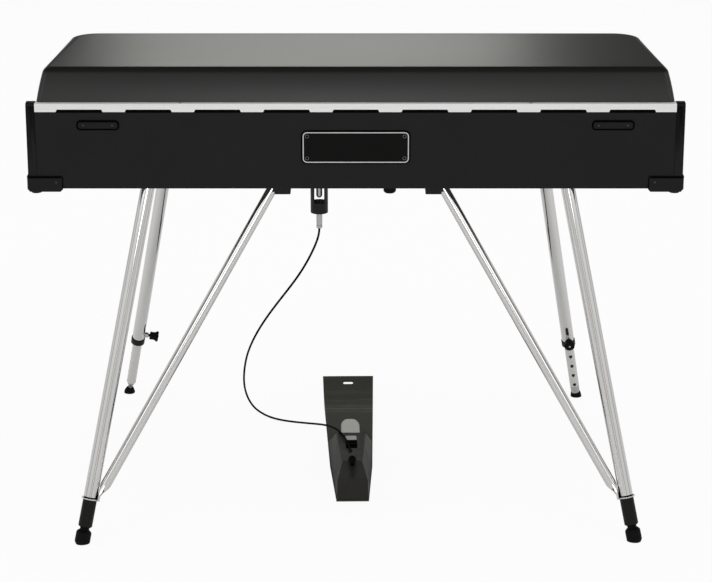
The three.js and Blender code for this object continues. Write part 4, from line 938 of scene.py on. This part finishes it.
    def guard(self, node, y, away, side):
        """Cup round a lower corner: a wall along both faces with rounded upper and cut lower ends, a
        sole with a foot nub, and a black strip of painted shade along the wall's edge."""
        out_x, out_y = HALF + FIT + GUARD_WALL, y + away * (FIT + GUARD_WALL)
        low, top = CASE_LIFT - GUARD_SOLE, CASE_LIFT + GUARD_HEIGHT
        round_end, cut_end, skin = 0.0034, 0.0045, 0.3 * MM
        arm_cut, bend_cut, far_cut = 0.8, 1.6, 4.6
        s = np.array([0, 0.4, 1.2, 2.2, 3.4, 4.5, GUARD_REACH / MM - far_cut]) * MM
        high = top - round_end + np.sqrt(round_end**2 - np.maximum(round_end - s, 0) ** 2)
        base = low + np.maximum(cut_end - s, 0)
        n = len(s)
        x = np.concatenate([out_x - GUARD_REACH + s, [out_x - GUARD_WALL], np.full(n + 1, out_x)])
        back = np.concatenate([np.zeros(n + 1), [GUARD_WALL], GUARD_REACH - s[::-1]])
        tilt = np.concatenate([np.full(n, math.pi / 2), [3 * math.pi / 8, math.pi / 8], np.zeros(n)])
        z_high = np.concatenate([high, [top, top], high[::-1]])
        z_low = np.concatenate([base, [low + 3 * MM, low], base[::-1]])
        chamfer = np.concatenate([np.full(n, arm_cut), [bend_cut], np.full(n + 1, far_cut)]) * MM
        out = np.stack([side * np.cos(tilt), away * np.sin(tilt), 0 * tilt], -1)
        place = np.stack([side * x, out_y - away * back, 0 * x], -1)
        up = np.array([0, 0, 1.0])

        def at(inset, z):
            return place - out * np.broadcast_to(inset, len(place))[:, None] + up * z[:, None]

        inner = np.minimum(z_low + chamfer + 0.8 * MM, z_high - 0.5 * MM)
        sections = [at(skin, z_high), at(skin, z_low + chamfer), at(skin + chamfer, z_low),
                    at(GUARD_WALL + chamfer, z_low), at(GUARD_WALL, inner), at(GUARD_WALL, z_high)]
        swept(f"{node}_wall", np.stack(sections, 1), "guard", "case", node)
        # A black strip of painted shade along the wall's top edge and down its ends
        first = tilt > 1
        inward = np.stack([side * np.where(first, 1, 0), -away * np.where(first, 0, 1), 0 * tilt], -1)
        near = np.clip(s / round_end, 0, 1)
        bend = np.concatenate([near, [1, 1], near[::-1]])
        across = inward * (1 - bend)[:, None] - up * bend[:, None]
        width = (1.5 + 1.9 * bend) * MM
        edge = at(0, z_high)
        foot = edge[[0, -1]] - up * (high[0] - base[0] - 1 * MM)
        path = np.concatenate([foot[:1], edge, foot[1:]])
        ends = [0, *range(2 * n + 2), -1]
        ribbon(f"{node}_seal", path, out[ends], across[ends], (-0.8 * MM, -0.05 * MM), width[ends],
               "void", "case")
        far_y = out_y - away * (GUARD_REACH - cut_end)
        near_y = out_y - away * 0.0012
        x0, x1 = sorted((side * (out_x - GUARD_REACH + cut_end), side * (out_x - 0.0055)))
        slab(f"{node}_sole", (x0, min(far_y, near_y), low), (x1, max(far_y, near_y), CASE_LIFT - FIT),
             0.8 * MM, "guard", "case")
        inset, screw_at = 0.0145 + FIT, 0.0515
        middle = (side * (out_x - inset), out_y - away * inset, low)
        lathe(f"{node}_nub", [[0, 1], [9.2, 1], [9.2, -4.0], [0, -4.0]], (0.9, 4),
              axes(middle, (0, 0, 1)), "rubber", "case", slot="black_rubber", sides=40)
        z = CASE_LIFT + 0.012
        screw(f"{node}_face_screw", (side * (out_x - screw_at), out_y - away * skin, z), (0, away, 0),
              2.2 * MM, "black screw")
        screw(f"{node}_side_screw", (side * (out_x - 1.2 * MM), out_y - away * screw_at, z),
              (side, 0, 0), 2.2 * MM, "black screw")

    def underside(self):
        """Leg flanges with their screws, brace brackets with a cross bolt, and the bumper."""
        for hand, (side, _, _, _, bracket) in REAR_LEGS.items():
            refined(f"{hand}_brace_bracket", "plastic", "case", 1.5 * MM, 3)
            turned(f"{hand}_bracket_bolt", bolt_head(5.2 * MM, 2.2 * MM),
                   axes((side * bracket, REAR - 0.050, CASE_LIFT - 0.014), (0, 1, 0)), "plastic",
                   "case", slot="steel", sides=6, sharp=20)
        r = 11.2
        pad = [[0, -19.8], [r - 3.2, -19.8], [r, -16.8], [r, -0.3], [0, -0.3]]
        middle = (-0.061, REAR - 0.045, CASE_LIFT)
        lathe("underside_bumper_pad", pad, (1.6, 5), axes(middle, (0, 0, 1)), "rubber", "case",
              "underside_bumper", "black_rubber", 48)
        ring = [[19.5, -0.1], [26.3, -0.1], [26.3, -4.4], [25.2, -5.9], [19.5, -5.9], [19.5, -0.1]]
        for end, legs, y in (("rear", REAR_LEGS, REAR_TOP_Y), ("front", FRONT_LEGS, FRONT_TOP_Y)):
            for hand, (side, top, *_) in legs.items():
                x, name = side * (HALF - top), f"{end}_{hand}_flange"
                lathe(f"{name}_ring", ring, None, axes((x, y, CASE_LIFT), (0, 0, 1)), "steel", "case",
                      slot="steel", sides=64)
                for k in range(3):
                    angle = math.pi / 2 + k * 2 * math.pi / 3
                    out_x, out_y = 0.0228 * math.cos(angle), 0.0228 * math.sin(angle)
                    screw(f"{name}_screw_{k + 1}", (x + out_x, y + out_y, CASE_LIFT - 5.8 * MM),
                          (0, 0, -1), 2.4 * MM, "bright screw")


def hood_outline(rise, wall, height, steps):
    """Rounded four-cornered outlines at shares of the hood's height: the sides lean in a little
    more with the height, the long rear edge bends over a quarter circle, and the player's end is
    an ellipse."""
    lean, side_lean, taper, nose, corner, far_corner = (v * MM for v in (18, 13.4, 25, 83, 9, 44))
    edge, full = HOOD_EDGE, HOOD_HEIGHT
    side_gap, rear_gap, overhang = 0.0021, 0.0083, 0.010
    half, rear_y, front_y = INSIDE - side_gap, REAR - rear_gap, NAME_BACK - overhang
    rise = np.asarray(rise, float)
    bend = np.clip(full * rise - (full - edge), 0, edge)
    bow = 0.7 * rise + 0.3 * rise**2
    side = wall + lean * bow + edge - np.sqrt(edge**2 - bend**2)
    tip = wall + nose * (1 - np.sqrt(1 - rise**2))
    rear_half = half - side - (side_lean - lean) * bow
    front_half = rear_half - taper * rise
    far = corner + (far_corner - corner) * rise
    near = np.full_like(rise, corner)
    sx, sy = np.array([1, -1, -1, 1]), np.array([-1, -1, 1, 1])
    x = np.stack([rear_half, rear_half, front_half, front_half], -1) * sx
    y = np.stack([rear_y - side, rear_y - side, front_y + tip, front_y + tip], -1)
    r = np.stack([near, near, far, far], -1)
    centre_x, centre_y = x - sx * r, y + sy * r
    angle = (np.arange(4)[:, None] + np.linspace(0, 1, steps)[None, :]) * math.pi / 2
    px = centre_x[:, :, None] + r[:, :, None] * np.cos(angle)
    py = centre_y[:, :, None] + r[:, :, None] * np.sin(angle)
    pz = np.broadcast_to(height[:, None, None], px.shape)
    return np.stack([px, py, pz], -1).reshape(len(rise), -1, 3)


class PianoHood(bpy.types.Operator):
    """Domed hood with its side skirts, which lifts off"""

    bl_idname = "piano.hood"
    bl_label = "Hood"

    def execute(self, context):
        sizes = context.scene.piano_sizes
        straight = 1 - HOOD_EDGE / HOOD_HEIGHT
        rise = np.concatenate([np.linspace(0, straight, 14)[:-1],
                               straight + (1 - straight) * np.sin(np.linspace(0, math.pi / 2, 15))])
        base = TOP + FIT
        wall = sizes.hood_wall
        full = HOOD_HEIGHT - sizes.hood_crown
        outer = hood_outline(rise, 0.0, base + full * rise, 13)
        inner = hood_outline(rise, wall, base + (full - wall) * rise, 13)
        centre = np.array([0.0, 0.125, 0.0])
        spread = np.linspace(0, 1, 9)[1:]

        def top(last, z, crown):
            """Rings that shrink towards the middle line while the surface rises to its crown."""
            share = spread[:, None, None]
            line = centre + [0, 0, z] + (last - centre)[None] * [0.55, 0, 0] * (1 - share)
            flat = last[None] * (1 - share) + share * line
            flat[..., 2] = z + crown * (1 - (1 - share[..., 0]) ** 2)
            return flat

        inside = top(inner[-1], base + full - wall, sizes.hood_crown)[::-1]
        outside = top(outer[-1], base + full, sizes.hood_crown)
        shell = np.concatenate([inside, inner[::-1], outer, outside])
        faces = grid_faces(len(shell), shell.shape[1])
        piece("hood_shell", shell, faces, "hood", "hood", "hood", 50)
        skirt_gap, depth, behind_name_rail = 0.0035, 0.048, 0.002
        half, rear = INSIDE - skirt_gap, REAR + FIT - RAIL_LIP
        for hand, side in (("left", -1), ("right", 1)):
            x0, x1 = sorted((side * (half - wall), side * half))
            slab(f"{hand}_hood_skirt", (x0, NAME_BACK + behind_name_rail, TOP - depth),
                 (x1, rear, TOP + 2 * FIT), 0.6 * MM, "hood", "hood")
        return {"FINISHED"}


def leg_frame(foot, top, towards):
    return axes(foot, np.subtract(top, foot), towards)


class PianoRearLegs(bpy.types.Operator):
    """Rear legs with rubber boots, and the braces between them and the case"""

    bl_idname = "piano.rear_legs"
    bl_label = "Rear legs and braces"

    def execute(self, context):
        for hand, (side, leg_side, foot_side, reach, bracket) in REAR_LEGS.items():
            foot = np.array([side * (HALF - foot_side), REAR + reach, 0])
            top = np.array([side * (HALF - leg_side), REAR_TOP_Y, CASE_LIFT])
            seat = np.array([side * (bracket + 0.013), REAR - 0.075, CASE_LIFT - 0.010])
            frame = leg_frame(foot, top, seat - foot)
            self.boot(hand, frame)
            self.tube(hand, frame, np.linalg.norm(top - foot))
            self.brace(hand, frame, seat)
        return {"FINISHED"}

    def boot(self, hand, frame):
        """Rubber tip with its neck, flattened by the floor, and the sleeve above it."""
        tip = [[0, -9], [11.2, -9], [11.2, -2], [13.9, 1], [13.9, 20.5], [9.4, 24.6], [8.4, 25.2],
               [8.4, 29.0], [0, 29.0]]
        lathe(f"rear_{hand}_boot_tip", tip, (2.2, 6), frame,
              "rubber", "case", f"rear_{hand}_leg_boot", "black_rubber", low=0.0, sharp=50)
        sleeve = [[0, 28.4], [8.6, 28.4], [12.6, 31.6], [12.6, 80.4], [12.0, 81], [5.7, 81], [5.7, 101],
                  [0, 101]]
        lathe(f"rear_{hand}_boot_sleeve", sleeve, (0.8, 4), frame,
              "sleeve", "case", slot="black_rubber", sharp=50)

    def tube(self, hand, frame, length):
        """Chrome tube with rounded lips, cut level under the case, and the black plug in its end."""
        start, end = 85.6 * MM, length + 0.010
        rows = [[TUBE_BORE, start], [TUBE - 0.5 * MM, start], [TUBE, start + 0.5 * MM], [TUBE, end],
                [TUBE_BORE, end]]
        turned(f"rear_{hand}_leg_tube", rows, frame, "chrome", "case", f"rear_{hand}_leg",
               "chrome", 72, high=CASE_LIFT - FLANGE - FIT, closed=True)
        rows = [[5.8, 84.0], [11.9, 84.0], [11.9, 86.4], [5.8, 86.4], [5.8, 84.0]]
        lathe(f"rear_{hand}_leg_plug", rows, None, frame, "void", "case",
              slot="black_rubber", sides=40)

    def brace(self, hand, frame, seat):
        """Round tube whose lower end is flattened against the leg: each ring is a superellipse
        whose two half widths and exponent change smoothly along the centre line."""
        ring_top = 83.8 * MM
        flat_x, bend_x = 15.15 * MM, 23.4 * MM
        flat_top = ring_top + 4 * MM
        local_seat = (seat - frame[0]) @ frame[1].T
        ease = 26 * MM
        bend = np.array([bend_x, 0, flat_top + ease])
        run = (local_seat - bend) / np.linalg.norm(local_seat - bend)
        t = np.linspace(0, 1, 22)[:, None]
        h0, h1 = np.array([flat_x, 0, flat_top]), bend
        along = np.array([0, 0, ease])
        curve = ((2 * t**3 - 3 * t**2 + 1) * h0 + (t**3 - 2 * t**2 + t) * along
                 + (3 * t**2 - 2 * t**3) * h1 + (t**3 - t**2) * run * ease)
        gauge = 2.5 * MM
        tab = np.linspace(0, 1, 4)[:-1, None] * [0, 0, flat_top - ring_top + gauge]
        tab = tab + [flat_x, 0, ring_top - gauge]
        rod = bend + np.linspace(0, 1, 12)[1:, None] * (local_seat - bend)
        path = np.concatenate([tab, curve, rod])
        share = np.concatenate([np.zeros(len(tab)), t[:, 0], np.ones(len(rod))])
        share = share * share * (3 - 2 * share)
        round_half, flat_thick, flat_wide = 9.5, 2.2, 12.0
        thick = (flat_thick + (round_half - flat_thick) * share) * MM
        wide = (flat_wide + (round_half - flat_wide) * share) * MM
        power = 5.0 - 3.0 * share
        tangent = np.gradient(path, axis=0)
        tangent /= np.linalg.norm(tangent, axis=1, keepdims=True)
        y = np.array([0, 1.0, 0])
        y = y - tangent * (tangent @ y)[:, None]
        y /= np.linalg.norm(y, axis=1, keepdims=True)
        x = np.cross(y, tangent)
        sides = 48
        a = np.linspace(0, 2 * math.pi, sides, endpoint=False)[None, :]

        def squared(v):
            return np.sign(v) * np.abs(v) ** (2 / power[:, None])

        local = (path[:, None] + x[:, None] * (thick[:, None] * squared(np.cos(a)))[..., None]
                 + y[:, None] * (wide[:, None] * squared(np.sin(a)))[..., None])
        out = np.hypot(local[..., 0], local[..., 1])
        # The rod keeps clear of the leg's tube, and stays a little further off beside the ring
        clear, further, beside, fade = 12.9, 2.4, 24 * MM, 6 * MM
        near = np.clip((ring_top + beside - local[..., 2]) / fade, 0, 1)
        room = np.where(local[..., 2] > ring_top, (clear + further * near) * MM, 0.0)
        push = np.maximum(room / np.maximum(out, 1e-6), 1.0)
        local[..., 0] *= push
        local[..., 1] *= push
        start, end = (np.repeat(carry(path[[k]], frame)[None], sides, 1) for k in (0, -1))
        points = np.concatenate([start, carry(local, frame), end])
        piece(f"{hand}_brace_rod", points, grid_faces(len(points), sides), "brace chrome", "case",
              f"{hand}_brace", 45)
        low, high = ring_top / MM - 2.5, ring_top / MM
        rows = [[6.0, low + 1.2], [6.0, low], [15.4, low], [15.4, high], [6.0, high], [6.0, low + 1.2]]
        lathe(f"{hand}_brace_ring", rows, (0.6, 4), frame,
              "chrome", "case", slot="chrome", sides=56)
        seen = 1 if hand == "left" else -1
        # Black plates of painted shade: one in the slot, one in the gap between the flattened rod and
        # the leg
        for name, place, size in (("slot", (19.5, 9.6, 14), (12, 2.2, 1)),
                                  ("recess", (14.2, 6.5, 10), (19, 3.4, 1))):
            middle = np.array([place[0], seen * place[1], place[2]]) * MM + [0, 0, ring_top]
            lean = frame[1][2] + (0.4 if name == "slot" else 0.1) * frame[1][0]
            flat = axes(carry(middle, frame), seen * frame[1][1], lean)
            plate(f"{hand}_brace_{name}", tuple(v * MM for v in size),
                  [(0, -4 * MM), (0, 1.0 * MM), (0.3 * MM, 1.2 * MM)], flat, "void", "case")


class PianoFrontLegs(bpy.types.Operator):
    """Front telescoping legs with collars, pull knobs and rubber feet"""

    bl_idname = "piano.front_legs"
    bl_label = "Front legs"

    def execute(self, context):
        knob, under_knob, collar = 155.5 * MM, 9 * MM, 10 * MM
        collar_top = knob - under_knob
        outer_end = collar_top - collar
        for hand, (side, leg_side, foot_side, reach, towards) in FRONT_LEGS.items():
            foot = np.array([side * (HALF - foot_side), FRONT - reach, 0])
            top = np.array([side * (HALF - leg_side), FRONT_TOP_Y, CASE_LIFT])
            frame = leg_frame(foot, top, towards)
            end = np.linalg.norm(top - foot) + 0.01
            start = outer_end + FIT
            # Its pit is the clamp slot above the knob, drawn black as painted shade
            turned(f"front_{hand}_outer_tube",
                   [[TUBE_BORE, start], [TUBE, start], [TUBE, end], [TUBE_BORE, end]],
                   frame, "chrome", "case", f"front_{hand}_leg", "chrome", 72,
                   high=CASE_LIFT - FLANGE - FIT, closed=True,
                   pits=[(0.0, knob + 17.5 * MM, 6 * MM, 19 * MM, 1.8 * MM)])
            low, high, step = (outer_end - 3 * MM) / MM, collar_top / MM, outer_end / MM
            rows = [[9.8, low + 1.5], [9.8, low], [14, low], [14, high], [12.8, high], [12.8, step],
                    [9.8, step], [9.8, low + 1.5]]
            lathe(f"front_{hand}_collar_ring", rows, (1.0, 4), frame,
                  "plastic", "case", f"front_{hand}_collar", "black_plastic", 64,
                  ribs=(28, 0.35 * MM, (low + 2.5) * MM, collar_top - 2 * MM), sharp=50)
            self.pull(hand, frame, knob)
            self.inner(hand, frame, outer_end)
            self.foot(hand, frame)
        return {"FINISHED"}

    def pull(self, hand, frame, knob):
        """Bush on the tube, thin pin and a flared grip with finger grooves."""
        origin = frame[0] + frame[1][2] * knob
        side = (origin, np.stack([frame[1][1], frame[1][2], frame[1][0]]))
        rows = [[3.3, 13.5], [3.3, 11.6], [5.4, 11.6], [5.4, 19.4], [3.3, 19.4], [3.3, 13.5]]
        lathe(f"front_{hand}_bush", rows, (0.5, 4), side,
              "steel", "case", slot="chrome", sides=40)
        rows = [[0, 9.8], [3, 9.8], [3, 22.5], [7.6, 22.5], [8.4, 24], [7.9, 29], [8.6, 34], [11, 36.2],
                [11, 38.6], [9.6, 40.3], [0, 40.5]]
        lathe(f"{hand}_pull_grip", rows, (1.1, 5), side,
              "rubber", f"{hand}_pull", f"{hand}_pull_knob", "black_plastic", 60,
              ribs=(12, 0.5 * MM, 35.5 * MM, 39.5 * MM), sharp=50)
        end = (origin + frame[1][0] * 40.4 * MM, side[1])
        turned(f"{hand}_pull_rivet", bolt_head(1.8 * MM, 0.6 * MM), end, "bright screw",
               f"{hand}_pull", slot="steel", sides=20)

    def inner(self, hand, frame, outer_end):
        """Holed inner tube: round pits on both sides at even steps, drawn black as painted shade for
        holes.
        """
        start, end = 29.8 * MM, outer_end + 150 * MM
        pits = [(a, (35.5 + 24 * i) * MM, 7.6 * MM, 7.6 * MM, 1.3 * MM)
                for i in range(10) for a in (0.0, math.pi)]
        r, bore = 9.5 * MM, 8.0 * MM
        turned(f"front_{hand}_inner_tube_chrome",
               [[bore, start], [r, start], [r, end], [bore, end]], frame, "chrome",
               f"{hand}_telescope", f"front_{hand}_inner_tube", "chrome", 56, closed=True, pits=pits)

    def foot(self, hand, frame):
        """Rubber bell on the floor, and the metal neck and cone that hold it in the tube."""
        body = f"{hand}_telescope"
        waist, neck = (4, 7.2) if hand == "right" else (9.0, 9.4)
        bell = [[0, -8], [10.9, -8], [11.2, -1], [11.2, 4], [neck, 13], [0, 13]]
        lathe(f"front_{hand}_foot_rubber", bell, (0.9, 4), frame,
              "rubber", body, f"front_{hand}_foot", "black_rubber", low=0.0, sharp=50)
        cone = [[0, 12.9], [waist, 12.9], [waist, 17.5], [9.2, 29.5], [7.6, 29.6], [7.6, 43.5],
                [0, 43.5]]
        lathe(f"front_{hand}_foot_cone", cone, (0.6, 4), frame,
              "steel", body, slot="steel", sides=48, sharp=50)


class PianoKeyboard(bpy.types.Operator):
    """Keys with rounded edges, and the felt strip under the name rail"""

    bl_idname = "piano.keyboard"
    bl_label = "Keyboard"

    def execute(self, context):
        edge = context.scene.piano_sizes.key_edge
        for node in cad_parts:
            if node.startswith("key_") and node not in ("key_slip", "key_frame"):
                refined(node, "keys", node, edge, 2)
        for node in ("lower_keys", "upper_keys"):
            refined(node, "keys", "case", edge, 2)
        reach = INSIDE - 0.05575
        slab("name_rail_felt", (-reach, NAME_FRONT + 0.003, KEY_TOP + 0.0145),
             (reach, NAME_FRONT + 0.012, KEY_TOP + 0.0171), 0.4 * MM, "felt red", "case")
        return {"FINISHED"}


class PianoControls(bpy.types.Operator):
    """Two turning knobs and the output socket on the name rail"""

    bl_idname = "piano.controls"
    bl_label = "Controls"

    def execute(self, context):
        low, high = KEY_TOP + 0.017, TOP - FIT
        tilt = math.atan2(0.010, high - low)
        normal = np.array([0, -math.cos(tilt), math.sin(tilt)])
        middle = np.array([0, NAME_FRONT + 0.005, (low + high) / 2])
        for i, (node, body) in enumerate((("volume_knob", "volume"), ("bass_knob", "bass"))):
            centre = middle + [-INSIDE + 0.070 + 0.052 * i, 0, 0]
            frame = axes(centre, normal, (1, 0, 0))
            rows = [[0, -14], [3, -14], [3, 0.3], [11, 0.3], [11, 3.0], [9.0, 4.6], [8.4, 14.2],
                    [7.4, 15], [6.6, 14.7], [0, 14.7]]
            lathe(f"{node}_cap", rows, (0.7, 4), frame,
                  "plastic", body, node, "black_plastic", 96,
                  ribs=(24, 0.45 * MM, 4.8 * MM, 13.6 * MM), sharp=50)
            up = (centre + frame[1][2] * 14.72 * MM + frame[1][1] * 4.0 * MM, frame[1])
            plate(f"{node}_pointer", (0.9 * MM, 5.2 * MM, 0.4 * MM), [(0, -0.2 * MM), (0, 0.15 * MM)],
                  up, "white mark", body)
            for k in range(11):
                angle = math.radians(-135 + 27 * k)
                out = frame[1][0] * math.sin(angle) + frame[1][1] * math.cos(angle)
                mark = centre + out * 13.4 * MM
                turned(f"{node}_mark_{k + 1}", bolt_head(0.55 * MM, 0.15 * MM), (mark, frame[1]),
                       "void", "case", slot="black_plastic", sides=12)
        centre = middle + [-INSIDE + 0.028, 0, 0]
        rows = [[3.3, 1.0], [3.3, 0.02], [8.5, 0.02], [8.5, 1.2], [6.4, 1.4], [6.2, 3.4], [3.3, 3.4],
                [3.3, 1.0]]
        lathe("output_socket", rows, (0.3, 4),
              axes(centre, normal, (1, 0, 0)), "steel", "case", slot="steel", sides=48)
        # A black disc of painted shade stands for the socket's hole
        lathe("output_socket_hole", [[0, 0.03], [3.2, 0.03], [3.2, 0.5], [0, 0.5]], None,
              axes(centre, normal, (1, 0, 0)), "void", "case", slot="black_plastic", sides=32)
        return {"FINISHED"}


class PianoWorks(bpy.types.Operator):
    """Key frame, hammers, damper bar, harp, tines and pickups under the hood"""

    bl_idname = "piano.works"
    bl_label = "Works"

    def execute(self, context):
        refined("key_frame", "wood", "case", 0.8 * MM)
        refined("damper_bar", "wood", "dampers", 0.8 * MM)
        refined("harp", "harp", "case", 0.5 * MM)
        self.rows_of_works()
        return {"FINISHED"}

    def rows_of_works(self):
        """One hammer, tine, pickup, adjusting screw and damper felt for each tone bar. The bars
        shorten evenly from the bass to the treble."""
        count = 73
        width = 2 * (INSIDE - 0.041)
        i = np.arange(count)
        x = -width / 2 + (i + 0.5) * width / count
        long = 0.150 + (0.050 - 0.150) * i / (count - 1)
        root = REAR - 0.012 - FIT - 0.016 - 0.034
        harp = CASE_LIFT + 0.118
        box = BOX_CORNERS - [0.5, 0, 0]
        ones = np.ones(count)
        tip = root - long

        def row(name, y, z, sx, sy, sz, material, body="case", shape=box):
            shifts = np.stack([x, y * ones, z * ones], -1)
            stretches = np.stack([sx * ones, sy * ones, sz * ones], -1)
            repeated(name, shape, BOX_FACES, shifts, stretches, material, body)

        rail_y = KEY_FRONT + 0.330 + 0.008
        row("tine_rods", tip - 0.004, harp - 0.0062, 1.6 * MM, long, 1.6 * MM, "steel")
        row("tine_blocks", root - 0.016, harp - 0.0095, 6.4 * MM, 16 * MM, 9.2 * MM, "steel")
        row("harp_screws", root - 0.010, harp + 9.6 * MM, 4.2 * MM, 4.2 * MM, 1.8 * MM, "bright screw")
        row("pickup_coils", tip - 0.0185, harp - 0.0105, 9.5 * MM, 9 * MM, 9 * MM, "copper")
        row("pickup_tips", tip - 0.0098, harp - 0.0067, 2.4 * MM, 3.4 * MM, 2.4 * MM, "steel")
        lean = box.copy()
        lean[:, 1] += lean[:, 2] * 0.35
        row("hammer_shanks", rail_y + 0.002, CASE_LIFT + 0.0815, 4.6 * MM, 9 * MM, 0.020, "wood",
            shape=lean)
        row("hammer_heads", rail_y + 0.003, CASE_LIFT + 0.1010, 7.6 * MM, 14 * MM, 5 * MM, "felt grey")
        row("damper_felts", ACTUATOR_AT[1] - 0.0085, CASE_LIFT + 0.0892, 8.5 * MM, 17 * MM, 5.5 * MM,
            "felt red", "dampers")


def pedal_axes(x, y, z, up=(0, 0, 1)):
    """A frame at a point of the pedal, which lies on the floor and is turned a little about Z."""
    c, s = math.cos(PEDAL_TURN), math.sin(PEDAL_TURN)
    turn = np.array([[c, s, 0], [-s, c, 0], [0, 0, 1]])
    place, up, right = (np.asarray(v, float) @ turn for v in ((x, y, z), up, (1, 0, 0)))
    return axes(place + PEDAL_AT, up, right)


class PianoPedal(bpy.types.Operator):
    """Heel plate, housing, lever and cable boot"""

    bl_idname = "piano.pedal"
    bl_label = "Pedal"

    def execute(self, context):
        refined("pedal_base", "heel", "case", 0.9 * MM, 3, sharp=20)
        refined("pedal_housing", "housing", "case", 1.2 * MM, 3, sharp=25)
        self.lever()
        plate("pedal_label", (21 * MM, 22 * MM, 1.2 * MM),
              [(0, -0.3 * MM), (0, 0.25 * MM), (0.3 * MM, 0.5 * MM)],
              pedal_axes(0, -0.182, 0.057), "label", "case")
        # Two black plates of painted shade darken the label's recess
        plate("pedal_recess_floor", (21.4 * MM, 33.4 * MM, 1.0 * MM),
              [(0, -0.2 * MM), (0, 0.3 * MM)], pedal_axes(0, -0.146, 0.052), "void", "case")
        plate("pedal_recess_rim", (22 * MM, 12 * MM, 1.0 * MM), [(0, -1 * MM), (0, 0.15 * MM)],
              pedal_axes(0, -0.165, 0.057), "void", "case")
        rows = [[3.4, 0.5], [3.4, 0], [7.3, 0], [7.3, 3], [6.2, 6], [6.2, 9], [5.6, 9.6],
                [5.6, 12.4], [5.0, 13], [5.0, 16], [4.4, 16.6], [4.4, 20], [3.5, 28.2], [2.2, 28.2],
                [2.2, 20], [3.4, 0.5]]
        lathe("pedal_cable_boot", rows, (0.5, 3),
              pedal_axes(0, -0.062, 0.0613, (0, 1, 0)), "cable", "case", slot="black_rubber",
              sides=40, sharp=50)
        return {"FINISHED"}

    def lever(self):
        """Silver plate whose far end tapers to a rounded nose, with chamfered upper edges. The plan's
        half width shrinks by a quarter ellipse over the nose's length."""
        half, start, nose, length, low, high = (v * MM for v in (18.2, 105, 296, 326, 34, 42))
        t = np.linspace(0, 1, 13)
        y = np.concatenate([[start], nose + (length - nose) * np.sin(t * math.pi / 2)])
        wide = np.concatenate([[half], half - 10.6 * MM * (1 - np.cos(t * math.pi / 2)) ** 0.85])
        edge = 2.0 * MM
        inset = np.array([edge, 0, 0, 0.8 * MM])
        level = np.array([high, high - edge, low + 0.8 * MM, low])
        side = wide[:, None] - inset[None]
        reach = y[:, None] - inset[None] * (y[:, None] > nose)
        left = np.stack([-side, -reach, np.broadcast_to(level, side.shape)], -1)
        right = (left * [-1, 1, 1])[:, ::-1]
        sections = carry(np.concatenate([left, right], 1), pedal_axes(0, 0, 0))
        swept("pedal_lever_plate", sections, "lever", "lever", "pedal_lever")


class PianoActuator(bpy.types.Operator):
    """Actuator cup, plunger and cable ferrule"""

    bl_idname = "piano.actuator"
    bl_label = "Actuator"

    def execute(self, context):
        refined("actuator_housing", "plastic", "case", 0.5 * MM, 2)
        frame = axes(ACTUATOR_AT, (0, 0, 1))
        a = np.linspace(0, math.pi / 2, 9)
        half = 5.5
        tip = np.stack([half * np.sin(a), -47.3 + half * (1 - np.cos(a))], -1)
        rows = np.concatenate([tip, [[half, 80.7], [0, 80.7]]])
        lathe("actuator_plunger_rod", rows, None, frame, "steel", "plunger", "actuator_plunger",
              "steel", 48)
        rows = [[0, -105.1], [4, -105.1], [5.45, -103.6], [5.45, -99], [4.9, -98.4], [4.9, -97],
                [5.45, -96.4], [5.45, -75.1], [0, -75.1]]
        lathe("cable_ferrule_sleeve", rows, (0.4, 4), frame, "steel", "case", "cable_ferrule",
              "steel", 48)
        return {"FINISHED"}


class PianoPanel(bpy.types.Panel):
    """Lists the pieces and their sizes"""

    bl_label = "Electric piano"
    bl_idname = "VIEW3D_PT_electric_piano"
    bl_space_type = "VIEW_3D"
    bl_region_type = "UI"
    bl_category = "Electric piano"

    def draw(self, context):
        for operator in OPERATORS:
            self.layout.operator(operator.bl_idname)
        for group, owner in ((PianoSizes, context.scene.piano_sizes),
                             (PianoColours, context.scene.piano_colours)):
            for key in group.__annotations__:
                self.layout.prop(owner, key)


OPERATORS = (PianoStage, PianoCable, PianoCase, PianoHood, PianoRearLegs, PianoFrontLegs, PianoKeyboard,
             PianoControls, PianoWorks, PianoPedal, PianoActuator)
CLASSES = (PianoSizes, PianoColours, *OPERATORS, PianoPanel)


def register():
    for each in CLASSES:
        bpy.utils.register_class(each)
    bpy.types.Scene.piano_sizes = bpy.props.PointerProperty(type=PianoSizes)
    bpy.types.Scene.piano_colours = bpy.props.PointerProperty(type=PianoColours)


def unregister():
    del bpy.types.Scene.piano_sizes
    del bpy.types.Scene.piano_colours
    for each in reversed(CLASSES):
        bpy.utils.unregister_class(each)


def main():
    register()
    for operator in OPERATORS:
        group, name = operator.bl_idname.split(".")
        getattr(getattr(bpy.ops, group), name)()


if __name__ == "__main__":
    main()
